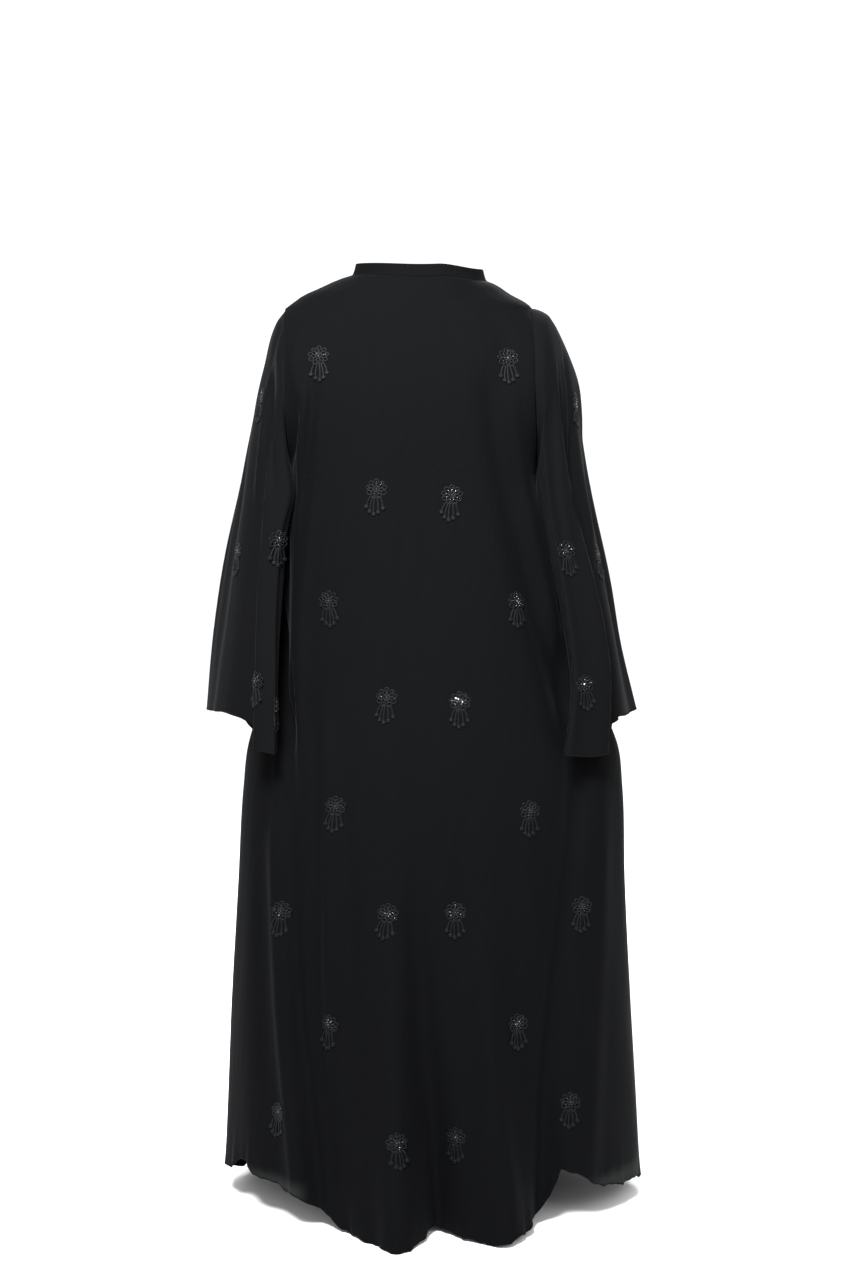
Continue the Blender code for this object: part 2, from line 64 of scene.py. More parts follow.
def read(source, name, at):
    """A column of a table at any key (its first column), by a cubic through its rows."""
    keys, values = next(iter(source.values())), source[name]
    slope = np.gradient(values, keys)
    at = np.clip(at, keys[0], keys[-1])
    i = np.clip(np.searchsorted(keys, at) - 1, 0, len(keys) - 2)
    step = keys[i + 1] - keys[i]
    t = (at - keys[i]) / step
    return (
        values[i] * (1 + 2 * t) * (1 - t) ** 2
        + values[i + 1] * t * t * (3 - 2 * t)
        + step * t * (1 - t) * (slope[i] * (1 - t) - slope[i + 1] * t)
    )


def ease(a, b, x):
    """A smooth step from 0 at a to 1 at b."""
    t = np.clip((x - a) / (b - a), 0, 1)
    return t * t * (3 - 2 * t)


CLOTH = 0.0009  # crepe, with its finish
ARM_X, ARM_Z, ARM_H = 0.183, -0.1675, 0.1225  # armhole: half shoulder width, centre, half height
ARM_BACK, ARM_FRONT = 0.095, 0.088  # its reach behind and in front

# Level sections of the body: distance below the origin, centre, half width, depth behind and in front, roundness
BODY = table(
    "down centre half back front round",
    (-0.005, 0.008, 0.098, 0.062, 0.072, 1),
    (0, 0.01, 0.112, 0.068, 0.078, 0.98),
    (0.0075, 0.013, 0.1275, 0.073, 0.084, 0.95),
    (0.015, 0.016, 0.14, 0.077, 0.088, 0.92),
    (0.024, 0.019, 0.158, 0.081, 0.092, 0.88),
    (0.0375, 0.022, 0.175, 0.086, 0.097, 0.84),
    (0.045, 0.024, 0.183, 0.089, 0.1, 0.82),
    (0.1, 0.023, 0.215, 0.107, 0.114, 0.76),
    (0.17, 0.022, 0.235, 0.124, 0.126, 0.72),
    (0.23, 0.019, 0.205, 0.132, 0.131, 0.67),
    (0.29, 0.016, 0.183, 0.138, 0.135, 0.63),
    (0.36, 0.011, 0.197, 0.146, 0.141, 0.7),
    (0.45, 0.005, 0.214, 0.157, 0.15, 0.8),
    (0.57, -0.004, 0.24, 0.172, 0.164, 0.9),
    (0.66, -0.01, 0.267, 0.184, 0.175, 0.97),
    (0.7, -0.012, 0.28, 0.189, 0.179, 0.98),
    (0.76, -0.012, 0.287, 0.196, 0.186, 1),
    (0.9, -0.01, 0.2935, 0.208, 0.198, 1.02),
    (1.1, -0.0095, 0.304, 0.223, 0.214, 1.05),
    (1.3, -0.0115, 0.3145, 0.235, 0.228, 1.08),
    (1.39, -0.0115, 0.319, 0.243, 0.234, 1.08),
)

# Folds of the body: side (1 behind, -1 in front), start and end below the origin, x at the start, middle and end,
# height out of the cloth there (troughs are negative), width at start and end
BODY_FOLDS = table(
    "side top low x_top x_mid x_low size_top size_low wide_top wide_low",
    (1, 0.1, 0.62, -0.088, -0.13, -0.205, -0.005, -0.01, 0.022, 0.03),
    (1, 0.12, 0.6, 0.16, 0.172, 0.188, 0.005, 0.007, 0.012, 0.016),
    (1, 0.4, 0.74, 0.205, 0.212, 0.222, -0.008, -0.016, 0.02, 0.028),
    (1, 0.4, 0.74, -0.2, -0.212, -0.228, -0.008, -0.012, 0.02, 0.028),
    (1, 0.7, 1.4, 0.225, 0.216, 0.19, 0.006, 0.014, 0.012, 0.018),
    (1, 0.7, 1.4, 0.198, 0.193, 0.165, -0.005, -0.014, 0.01, 0.014),
    (1, 0.7, 1.4, 0.16, 0.165, 0.14, -0.006, -0.012, 0.013, 0.03),
    (1, 0.72, 1.4, 0.14, 0.142, 0.095, 0.004, 0.008, 0.01, 0.022),
    (1, 0.78, 1.4, 0.04, 0.046, 0.036, 0.002, 0.062, 0.03, 0.04),
    (1, 0.8, 1.4, 0.014, 0.004, -0.022, -0.003, -0.056, 0.02, 0.026),
    (1, 0.82, 1.4, -0.085, -0.098, -0.118, 0.002, 0.046, 0.026, 0.038),
    (1, 0.76, 1.4, -0.228, -0.2, -0.188, -0.01, -0.03, 0.03, 0.022),
    (1, 0.84, 1.4, -0.262, -0.255, -0.245, 0.004, 0.008, 0.02, 0.024),
    (-1, 0.66, 1.4, 0.24, 0.25, 0.256, 0.004, 0.016, 0.02, 0.024),
    (-1, 0.7, 1.4, 0.18, 0.19, 0.196, -0.006, -0.022, 0.018, 0.026),
    (-1, 0.74, 1.4, 0.12, 0.128, 0.132, 0.004, 0.024, 0.02, 0.028),
    (-1, 0.78, 1.4, 0.05, 0.058, 0.066, -0.004, -0.026, 0.02, 0.026),
    (-1, 0.76, 1.4, -0.07, -0.076, -0.07, 0.004, 0.022, 0.022, 0.03),
    (-1, 0.72, 1.4, -0.125, -0.136, -0.14, -0.006, -0.026, 0.018, 0.026),
    (-1, 0.68, 1.4, -0.19, -0.204, -0.212, 0.006, 0.022, 0.02, 0.026),
    (-1, 0.66, 1.4, -0.24, -0.258, -0.268, -0.006, -0.018, 0.016, 0.02),
    (-1, 0.12, 0.66, 0.135, 0.15, 0.17, -0.004, -0.008, 0.02, 0.026),
    (-1, 0.12, 0.66, -0.095, -0.125, -0.16, -0.004, -0.009, 0.02, 0.026),
)

# The hem clears the floor here: angle round the body from the left side, lift, width
HEM_LIFT = table(
    "angle lift wide",
    (10, 0.048, 24),
    (42, 0.04, 18),
    (133, 0.088, 10),
    (165, 0.036, 16),
    (205, 0.02, 22),
    (232, 0.012, 18),
    (318, 0.016, 20),
)
# Where the hem ends behind: x and z of its edge
HEM_EDGE = (
    (-0.318, -1.319), (-0.297, -1.349), (-0.262, -1.339), (-0.225, -1.311), (-0.214, -1.3048), (-0.199, -1.303),
    (-0.19, -1.332), (-0.171, -1.364), (-0.153, -1.379), (-0.134, -1.379), (-0.117, -1.386), (-0.099, -1.388),
    (-0.072, -1.386), (-0.045, -1.387), (-0.01, -1.379), (0.008, -1.387), (0.025, -1.3895), (0.06, -1.3895),
    (0.086, -1.3895), (0.122, -1.386), (0.158, -1.356), (0.194, -1.338), (0.23, -1.331), (0.257, -1.328),
    (0.29, -1.283),
)


def armhole_edge(down, rear):
    """How far behind or in front of the shoulder the armhole reaches at this level, 0 above and below it."""
    return np.where(rear, ARM_BACK, ARM_FRONT) * np.sqrt(np.clip(1 - ((-down - ARM_Z) / ARM_H) ** 2, 0, 1))


def body_plain(theta, down):
    """The plain body at an angle (0 the left side, 90 degrees the centre back) and a distance below the origin."""
    columns = ("centre", "half", "back", "front", "round")
    centre, half, behind, ahead, power = (read(BODY, column, down) for column in columns)
    rear = np.sin(theta) >= 0
    depth = np.where(rear, behind, ahead)
    edge = armhole_edge(down, rear) / depth
    half = np.where(edge > 0, ARM_X / (1 - edge ** (2 / power)) ** (power / 2), half)
    x = centre + half * np.sign(np.cos(theta)) * np.abs(np.cos(theta)) ** power
    y = depth * np.sign(np.sin(theta)) * np.abs(np.sin(theta)) ** power
    return x, y


def first_angle(down, rear):
    """The angle at which a panel starts: the seam at the side, or the edge of the armhole."""
    depth = read(BODY, "back" if rear else "front", down)
    return np.arcsin(np.clip(armhole_edge(down, rear) / depth, 0, 1) ** (1 / read(BODY, "round", down)))


def body_folds(theta, down):
    x, y = body_plain(theta, down)
    out = np.zeros(np.broadcast(theta, down).shape)
    centre = read(BODY, "centre", down)
    half = read(BODY, "half", down)
    for side, top, low, x0, x1, x2, size0, size1, wide0, wide1 in zip(*BODY_FOLDS.values()):
        t = np.clip((down - top) / (low - top), 0, 1)
        along = x0 * (1 - t) * (1 - 2 * t) + 4 * x1 * t * (1 - t) + x2 * t * (2 * t - 1)
        angle = np.arccos(np.clip((along - centre) / half, -0.995, 0.995)) * side
        px, py = body_plain(angle, down)
        away = np.hypot(x - px, y - py)
        wide = wide0 + (wide1 - wide0) * t
        size = size0 + (size1 - size0) * t**1.5
        shown = ease(top - 0.12, top + 0.04, down) * (1 - ease(low, low + 0.12, down))
        out += size * shown * np.exp(-((away / wide) ** 2))
    return out


def ripples(theta, down):
    """Shallow uneven waves that run down the cloth where it hangs free."""
    draw = np.random.default_rng(56)
    out = np.zeros(np.broadcast(theta, down).shape)
    for _ in range(16):
        turns, fall = draw.integers(7, 30), draw.uniform(0.5, 1.6)
        phase, sway, late = draw.uniform(0, 2 * math.pi, 3)
        wave = np.sin(turns * theta + 0.9 * np.sin(fall * 2 * math.pi * down + sway) + phase)
        out += wave * (0.6 + 0.4 * np.sin(2 * math.pi * fall * down + late)) / math.sqrt(turns)
    return out * (0.00035 + 0.0011 * ease(0.55, 1.30, down))


def body(theta, down, push=0.0):
    """The cloth's outer face, with its folds, its hem and its neckline."""
    x, y = body_plain(theta, down)
    ax, ay = body_plain(theta - 1e-3, down)
    bx, by = body_plain(theta + 1e-3, down)
    nx, ny = by - ay, ax - bx
    far = np.hypot(nx, ny) + 1e-12
    push = push + body_folds(theta, down) + ripples(theta, down)
    degrees = np.degrees(theta) % 360
    lift = np.zeros_like(x)
    for angle, rise, wide in zip(*HEM_LIFT.values()):
        off = (degrees - angle + 180) % 360 - 180
        lift += rise * np.exp(-((off / wide) ** 2))
    middle = x - read(BODY, "centre", down)
    dip = np.where(np.sin(theta) < 0, 0.042, 0.003) * np.exp(-((middle / 0.058) ** 2))
    # the right shoulder starts a little lower beside the neck
    dip = dip + 0.0085 * ease(-0.02, -0.085, x) * (1 - ease(0.02, 0.045, down))
    z = -down + lift * ease(0.85, 1.39, down) - dip * np.clip(1 - (down + 0.005) / 0.24, 0, 1) ** 1.5
    return np.stack((x + nx / far * push, y + ny / far * push, z), axis=-1)


def evenly(first, last, levels, shares):
    """Angles between first and last that lie at these shares of the plain cloth's width, level by level."""
    out = np.empty((len(levels), len(shares)))
    for i, down in enumerate(levels[:, 0]):
        fine = np.linspace(float(first[i, 0]), float(last[i, 0]), 2401)
        x, y = body_plain(fine, np.full_like(fine, down))
        far = np.concatenate(([0], np.cumsum(np.hypot(np.diff(x), np.diff(y)))))
        out[i] = np.interp(shares * far[-1], far, fine)
    return out


def seam_shares(count, last=True):
    """Column positions over a panel: even, with three more close to each sewn edge."""
    close = np.array([0.0016, 0.0040, 0.0075])
    return np.unique(np.concatenate((np.linspace(0, 1, count), close, 1 - close if last else [])).round(6))


def facing_of(grid, closed=False):
    """Unit normals of a grid of points: down its rows crossed with along its columns."""
    if closed:
        across = np.roll(grid, -1, axis=1) - np.roll(grid, 1, axis=1)
    else:
        across = np.gradient(grid, axis=1)
    normal = np.cross(np.gradient(grid, axis=0), across)
    return normal / (np.linalg.norm(normal, axis=-1, keepdims=True) + 1e-15)


# Creases pressed or pulled into the cloth behind: height out of the cloth (a valley is negative), width to the left
# and to the right of the line as seen from behind, then x and z of points down the line
BACK_CREASES = (
    (0.0048, 0.004, 0.016, (0.17, -0.15), (0.177, -0.197), (0.1845, -0.232), (0.192, -0.262), (0.198, -0.297),
        (0.206, -0.356), (0.209, -0.446), (0.2, -0.528)),
    (-0.0168, 0.026, 0.009, (0.192, -0.2), (0.2, -0.262), (0.2085, -0.297), (0.2175, -0.356), (0.2205, -0.446),
        (0.213, -0.528), (0.205, -0.6), (0.2, -0.68)),
    (-0.0048, 0.01, 0.01, (0.1657, -0.13), (0.1644, -0.18), (0.169, -0.238), (0.1765, -0.295), (0.184, -0.353),
        (0.1917, -0.44), (0.1936, -0.528)),
    (0.00416, 0.008, 0.011, (0.153, -0.2), (0.1576, -0.266), (0.1622, -0.324), (0.17, -0.4), (0.1789, -0.493),
        (0.1823, -0.586)),
    (-0.00832, 0.021, 0.013, (-0.0905, -0.141), (-0.1096, -0.27), (-0.133, -0.376), (-0.161, -0.479),
        (-0.1867, -0.556), (-0.205, -0.64)),
    (0.0048, 0.011, 0.011, (-0.122, -0.16), (-0.141, -0.28), (-0.161, -0.38), (-0.182, -0.47), (-0.196, -0.53)),
    (0.00144, 0.014, 0.013, (0.2172, -0.69), (0.2092, -0.85), (0.2048, -1.11), (0.1796, -1.35)),
    (-0.00288, 0.0087, 0.0087, (0.1873, -0.7), (0.1851, -0.893), (0.1841, -0.988), (0.18, -1.15)),
    (0.0024, 0.0087, 0.0087, (0.1683, -0.69), (0.1661, -0.841), (0.1696, -0.988)),
    (-0.00272, 0.0101, 0.0116, (0.1523, -0.74), (0.1592, -1.014), (0.1657, -1.19)),
    (0.00272, 0.0101, 0.013, (0.1338, -0.78), (0.1374, -0.984), (0.1351, -1.16)),
    (-0.0024, 0.0087, 0.0101, (0.1135, -0.735), (0.1137, -0.809), (0.1096, -0.898), (0.108, -0.99)),
    (0.00176, 0.013, 0.013, (0.087, -0.8), (0.084, -0.93), (0.078, -1.08)),
    (-0.00288, 0.013, 0.013, (0.0187, -0.9), (0.0101, -1.039), (0.015, -1.16), (0.0217, -1.273)),
    (-0.00192, 0.0145, 0.0174, (-0.05, -0.86), (-0.056, -1.02), (-0.066, -1.2)),
    (0.0032, 0.0116, 0.0087, (-0.0936, -1.08), (-0.1171, -1.27), (-0.13, -1.345)),
    (0.00208, 0.0174, 0.0145, (-0.15, -0.76), (-0.156, -0.93), (-0.152, -1.12)),
    (-0.00336, 0.0145, 0.0145, (-0.2199, -0.75), (-0.209, -0.867), (-0.1868, -1.043), (-0.164, -1.24)),
    (0.0024, 0.0116, 0.0145, (-0.236, -0.8), (-0.232, -0.96), (-0.224, -1.16)),
    (-0.00288, 0.0116, 0.0116, (0.245, -0.8), (0.242, -0.98), (0.235, -1.2)),
)


def crease(grid, creases, rear=1, closed=False, flip=1, free=1.0):
    """Raises or sinks the cloth along each line, where it faces that side and isn't held by a seam (free = 0)."""
    normal = facing_of(grid, closed) * flip
    shown = ease(0.10, 0.45, normal[..., 1] * rear)
    push = np.zeros(grid.shape[:2])
    for size, left, right, *line in creases:
        x, z = np.array(line).T
        at = -grid[..., 2]
        centre = read({"z": -z, "x": x}, "x", at)
        side = (grid[..., 0] - centre) * (1 if rear > 0 else -1)
        wide = np.where(side > 0, left, right)
        ends = ease(-z[0] - 0.035, -z[0] + 0.045, at) * (1 - ease(-z[-1] - 0.045, -z[-1] + 0.05, at))
        push += size * ends * np.exp(-((side / wide) ** 2))
    return grid + normal * (push * shown * free)[..., None]


GROOVE = 0.0009  # a seam's stitches draw the cloth in by this
GROOVE_WIDE = 0.0072  # over this share of the panel's width


def groove(grid, shares, last=True, flip=1):
    """Draws the cloth in along its sewn edges."""
    near = np.minimum(shares, 1 - shares) if last else shares
    return grid - facing_of(grid) * flip * (GROOVE * (1 - ease(0, GROOVE_WIDE, near)))[None, :, None]


def grid_faces(rows, columns, closed=False):
    """Each face's row, column and next column in a grid of points, and its four corners, numbered row by row."""
    i, j = np.meshgrid(np.arange(rows - 1), np.arange(columns if closed else columns - 1), indexing="ij")
    k = (j + 1) % columns
    return i, j, k, np.stack((i, i + 1, i + 1, i), axis=-1) * columns + np.stack((j, j, k, k), axis=-1)


def crepe_mesh(name, grid, flip=False, closed=False, sheer=None):
    """A panel's mesh from its grid of points, with the cloth's own metres as its UV map."""
    rows, columns = grid.shape[:2]
    i, j, k, faces = grid_faces(rows, columns, closed)
    down = np.cumsum(np.linalg.norm(np.diff(grid, axis=0), axis=-1), axis=0)
    down = np.concatenate((np.zeros((1, columns)), down))
    across = np.linalg.norm(np.diff(grid, axis=1, append=grid[:, :1]), axis=-1)
    across = np.concatenate((np.zeros((rows, 1)), np.cumsum(across, axis=1)), axis=1)
    u = np.stack((across[i, j], across[i + 1, j], across[i + 1, j + 1], across[i, j + 1]), axis=-1)
    v = -np.stack((down[i, j], down[i + 1, j], down[i + 1, k], down[i, k]), axis=-1)
    order = [0, 3, 2, 1] if flip else [0, 1, 2, 3]
    mesh = bpy.data.meshes.new(name)
    mesh.from_pydata(grid.reshape(-1, 3).tolist(), [], faces.reshape(-1, 4)[:, order].tolist())
    laid = mesh.uv_layers.new(name="cloth")
    pair = np.stack((u.reshape(-1, 4)[:, order], v.reshape(-1, 4)[:, order]), axis=-1)
    laid.data.foreach_set("uv", pair.astype(np.float32).ravel())
    sheer = np.zeros(rows * columns) if sheer is None else sheer.ravel()
    mesh.attributes.new("sheer", "FLOAT", "POINT").data.foreach_set("value", sheer.astype(np.float32))
    mesh.shade_smooth()
    return mesh


class Wire:
    """A shader node's output. Adding, multiplying and so on makes the Math node for it."""

    def __init__(self, tree, socket=None):
        self.tree, self.socket = tree, socket

    def node(self, kind, settings=(), sockets=(), out=0):
        """A node of this kind: its settings first, then the values or wires of its sockets."""
        made = self.tree.nodes.new("ShaderNode" + kind)
        for name, value in dict(settings).items():
            setattr(made, name, value)
        for key, value in dict(sockets).items():
            if isinstance(value, Wire):
                self.tree.links.new(value.socket, made.inputs[key])
            else:
                made.inputs[key].default_value = value
        return Wire(self.tree, made.outputs[out])

    def __add__(self, other):
        return self.node("Math", {"operation": "ADD"}, {0: self, 1: other})

    def __mul__(self, other):
        return self.node("Math", {"operation": "MULTIPLY"}, {0: self, 1: other})

    __radd__, __rmul__ = __add__, __mul__

    def stretched(self, x, y, z=1.0):
        """The same coordinates, scaled along each axis."""
        return self.node("VectorMath", {"operation": "MULTIPLY"}, {0: self, 1: (x, y, z)})

    def blend(self, factor, first, second):
        """A colour between two colours."""
        return self.node("Mix", {"data_type": "RGBA"}, {0: factor, 6: first, 7: second}, out=2)

    def into(self, socket):
        self.tree.links.new(self.socket, socket)


AGAINST_LIGHT = (0.0150, 0.0157, 0.0157)  # one layer of the crepe with light behind it


def crepe(name, deep, light):
    """Black crepe: a pebbled matte weave with faint cloudy shading, and paler where one layer lets light through."""
    made = bpy.data.materials.new(name)
    made.use_nodes = True
    shader = made.node_tree.nodes["Principled BSDF"]
    start = Wire(made.node_tree)
    laid = start.node("UVMap", {"uv_map": "cloth"})
    place = start.node("TexCoord", out="Object")
    tall, drawn = place.stretched(1, 1, 0.35), laid.stretched(70, 6)
    clouds = start.node("TexNoise", {}, {"Vector": tall, "Scale": 5.5, "Detail": 3.0, "Roughness": 0.6})
    streaks = start.node("TexNoise", {}, {"Vector": drawn, "Scale": 1.0, "Detail": 3.0, "Roughness": 0.55})
    pebble = start.node("TexNoise", {}, {"Vector": laid, "Scale": 950.0, "Detail": 2.0, "Roughness": 0.7})
    twist = {"Vector": laid, "Scale": 260.0, "Distortion": 1.6, "Detail": 1.0, "Detail Scale": 2.0}
    ribs = start.node("TexWave", {"wave_type": "BANDS", "bands_direction": "X"}, twist)
    sheer = start.node("Attribute", {"attribute_name": "sheer"}, out="Fac")
    shade = clouds * 0.55 + streaks * 0.30 + pebble * 0.15
    colour = start.blend(shade, (*deep, 1), (*light, 1))
    colour = start.blend(sheer, colour, (*AGAINST_LIGHT, 1))
    colour.into(shader.inputs["Base Color"])
    (0.70 + pebble * 0.16 + clouds * 0.06).into(shader.inputs["Roughness"])
    shader.inputs["Specular IOR Level"].default_value = 0.018
    shader.inputs["Sheen Weight"].default_value = 0.009
    shader.inputs["Sheen Roughness"].default_value = 0.38
    shader.inputs["Sheen Tint"].default_value = (0.86, 0.92, 1.0, 1)
    soft = start.node("Bump", {}, {"Strength": 0.55, "Distance": 0.0016, "Height": streaks})
    weave = pebble * 0.75 + ribs * 0.25
    weave = start.node("Bump", {}, {"Strength": 0.42, "Distance": 0.00025, "Height": weave, "Normal": soft})
    weave.into(shader.inputs["Normal"])
    return made


BODY_CREPE = crepe("crepe_body", (0.0012, 0.0013, 0.0015), (0.0022, 0.0023, 0.0026))

# Rows of the body's panels: the shoulder, the armhole in even steps round it, then down to the hem
levels = np.concatenate(
    (
        np.linspace(-0.005, 0.040, 9),
        -ARM_Z - ARM_H * np.cos(np.linspace(0, math.pi, 56)),
        np.linspace(0.2965, 1.37, 160),
        [1.376, 1.381, 1.3855, 1.39],
    )
)[:, None]


def sheer_patch(grid):
    """Where a single layer near the hem lets the light through: beside both side seams."""
    x, z = grid[..., 0], grid[..., 2]
    left = ease(0.165, 0.200, x) * (1 - ease(0.262, 0.285, x)) * ease(-1.312, -1.335, z)
    right = ease(-0.232, -0.262, x) * ease(-1.318, -1.338, z)
    return 0.8 * np.maximum(left, 0.8 * right) * (grid[..., 1] > 0)


def finish_sheet(mesh, node, material):
    """Puts a panel in the scene with its thickness and its material, and hides the model's part that it stands for."""
    piece = bpy.data.objects.new(mesh.name, mesh)
    bpy.context.scene.collection.objects.link(piece)
    mesh.materials.append(material)
    thick = piece.modifiers.new("cloth", "SOLIDIFY")
    thick.thickness, thick.offset, thick.use_even_offset = CLOTH, -1, False
    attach(piece, "root")
    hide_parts(node)


HEM_WAVES = (0.019, 0.026, 0.034, 0.047, 0.070)  # lengths of the ripples along a hem
HEM_WAVE, HEM_DROP = 0.0046, 0.0040  # how far they swing out of the cloth, and how far they let the edge down
HEM_REACH = 0.024  # they die out over this, upward from the edge
HEM_LOWEST = -1.3898


def hem_waves(grid, flip=1):
    """The light, slightly stretched edge ripples in its last few centimetres."""
    rows = np.linalg.norm(np.diff(grid, axis=0, append=grid[-1:]), axis=-1)
    far = np.cumsum(rows[::-1], axis=0)[::-1]
    along = np.concatenate(([0], np.cumsum(np.linalg.norm(np.diff(grid[-1], axis=0), axis=-1))))
    draw = np.random.default_rng(12)
    wave, drop = np.zeros_like(along), np.zeros_like(along)
    for length in HEM_WAVES:
        for sum_, sway, late in ((wave, 9, 99), (drop, 7, 55)):
            bend = 1.5 * np.sin(along * sway + length * late)
            sum_ += math.sqrt(length) * np.sin(2 * math.pi * along / length + bend + draw.uniform(0, 6))
    near = np.exp(-far / HEM_REACH)
    out = grid + facing_of(grid) * flip * (HEM_WAVE * wave * near)[..., None]
    out[..., 2] += np.minimum(HEM_DROP * drop, 0.0012) * near
    out[..., 2] = np.maximum(out[..., 2], HEM_LOWEST)
    return out


shares = seam_shares(157)
start = first_angle(levels, True)
grid = body(evenly(start, math.pi - start, levels, shares), levels)
free = 1 - (1 - ease(0, 0.08, np.minimum(shares, 1 - shares))) * ease(0.31, 0.285, levels)
grid = groove(crease(grid, BACK_CREASES, free=free), shares)
# the skirt is drawn to the hem's line, all but its sides
at, edge = np.array(HEM_EDGE).T
x, y, z = grid[-1].T
trim = (np.interp(x, at, edge) - z) * ease(0.302, 0.286, x) * ease(-0.322, -0.306, x) * ease(0.05, 0.12, y)
grid[..., 2] += trim * ease(1.05, 1.39, levels)
grid = hem_waves(grid)
grids = {"back": grid}
mesh = crepe_mesh("back_panel", grid, sheer=sheer_patch(grid))
finish_sheet(mesh, "back", BODY_CREPE)

# ---------------------------------------------------------------------------------------------------------------
# The fronts: two panels of the same crepe, each from the shoulder to the hem. They lap by 28 mm at the centre, the
# right over the left, with a narrow turned edge, and hang from the shoulders in long soft folds.

LAP = 0.014  # each front passes the centre by this
# As on the back, with the widths to the right and to the left as seen from the front
FRONT_CREASES = (
    (-0.0048, 0.01, 0.012, (0.15, -0.18), (0.158, -0.3), (0.166, -0.44), (0.176, -0.56)),
    (-0.0048, 0.012, 0.01, (-0.11, -0.17), (-0.134, -0.3), (-0.152, -0.43), (-0.17, -0.56)),
    (0.00272, 0.0116, 0.013, (0.095, -0.7), (0.099, -0.9), (0.098, -1.15), (0.092, -1.33)),
    (-0.00288, 0.0116, 0.0116, (0.155, -0.7), (0.162, -0.9), (0.164, -1.13), (0.168, -1.33)),
    (0.00288, 0.0101, 0.013, (0.215, -0.74), (0.22, -0.94), (0.222, -1.2)),
    (0.00192, 0.0145, 0.0116, (0.04, -0.82), (0.036, -1), (0.04, -1.22)),
    (-0.0024, 0.013, 0.0145, (-0.045, -0.78), (-0.048, -0.98), (-0.042, -1.24)),
    (0.00272, 0.0116, 0.0116, (-0.1, -0.74), (-0.106, -0.93), (-0.108, -1.18)),
    (-0.00304, 0.013, 0.0116, (-0.165, -0.7), (-0.172, -0.9), (-0.178, -1.15), (-0.18, -1.33)),
    (0.00272, 0.0116, 0.0116, (-0.232, -0.74), (-0.238, -0.96), (-0.24, -1.2)),
)

for name, sign in (("front_left", 1), ("front_right", -1)):
    shares = seam_shares(81, last=False)
    start = first_angle(levels, False)
    half = read(BODY, "half", levels)
    over = np.arcsin((LAP / half) ** (1 / read(BODY, "round", levels)))
    turn = evenly(-start, -(math.pi / 2 + over), levels, shares)
    theta = turn if sign == 1 else -math.pi - turn
    x = body_plain(theta, levels)[0] - read(BODY, "centre", levels)
    # the left front dips under the right one, more so below the neckline
    under = -0.0030 * (1 + 1.3 * ease(0.18, 0.02, levels)) * ease(0.045, 0.020, x) if sign == 1 else 0.0
    grid = crease(body(theta, levels, under), FRONT_CREASES, rear=-1, flip=-sign)
    grid = hem_waves(groove(grid, shares, last=False, flip=-sign), flip=-sign)
    grids[name] = grid
    mesh = crepe_mesh(name + "_panel", grid, flip=sign == 1)
    finish_sheet(mesh, name, BODY_CREPE)

# ---------------------------------------------------------------------------------------------------------------
# The sleeves: each is one straight-cut piece of crepe sewn into a wide tube, set into the armhole and open at the
# cuff. They fall nearly flat beside the body and fold over themselves toward the back.

SLEEVES = {
    1: table(
        "along mx my mz ax ay az bx by bz bow",
        (0, 0.2035, 0.0035, -0.1675, 0.0037, 0, 0.1225, 0.001, 0.0915, 0, 0),
        (0.02, 0.2075, 0.0033, -0.1715, 0.006, 0, 0.119, -0.001, 0.0915, 0, 0),
        (0.05, 0.213, 0.003, -0.185, 0.0105, 0, 0.113, -0.006, 0.0915, -0.001, 0),
        (0.14, 0.223, 0.003, -0.2325, 0.015, 0, 0.1025, -0.018, 0.092, -0.002, 0),
        (0.3, 0.2336, 0.003, -0.3, 0.021, 0.001, 0.083, -0.028, 0.096, -0.004, 0),
        (0.5, 0.247, 0.004, -0.39, 0.022, 0.002, 0.058, -0.038, 0.105, -0.008, 0.002),
        (0.7, 0.2635, 0.006, -0.49, 0.022, 0.005, 0.036, -0.048, 0.115, -0.012, 0.008),
        (0.85, 0.278, 0.009, -0.58, 0.02, 0.008, 0.018, -0.056, 0.125, -0.015, 0.017),
        (1, 0.292, 0.012, -0.676, 0.02, 0.008, 0.004, -0.06, 0.135, -0.017, 0.027),
    ),
    -1: table(
        "along mx my mz ax ay az bx by bz bow",
        (0, 0.1624, 0.0035, -0.1675, -0.0036, 0, 0.1225, 0.001, 0.0915, 0, 0),
        (0.02, 0.1715, 0.0033, -0.169, 0.0035, 0, 0.1225, -0.003, 0.0915, 0, 0),
        (0.05, 0.182, 0.003, -0.18, 0.0085, 0, 0.1155, -0.009, 0.0915, -0.001, 0),
        (0.09, 0.1902, 0.003, -0.201, 0.0133, 0, 0.111, -0.016, 0.0915, -0.001, 0),
        (0.14, 0.1965, 0.003, -0.2325, 0.02, 0, 0.105, -0.026, 0.092, -0.002, 0),
        (0.3, 0.2055, 0.003, -0.3, 0.02, 0.001, 0.083, -0.03, 0.096, -0.004, 0),
        (0.5, 0.2225, 0.004, -0.39, 0.018, 0.002, 0.058, -0.034, 0.105, -0.008, 0.002),
        (0.7, 0.246, 0.006, -0.49, 0.018, 0.005, 0.036, -0.038, 0.113, -0.012, 0.008),
        (0.85, 0.2645, 0.009, -0.58, 0.018, 0.008, 0.018, -0.042, 0.122, -0.015, 0.016),
        (1, 0.281, 0.012, -0.676, 0.017, 0.008, 0.004, -0.06, 0.132, -0.017, 0.026),
    ),
}

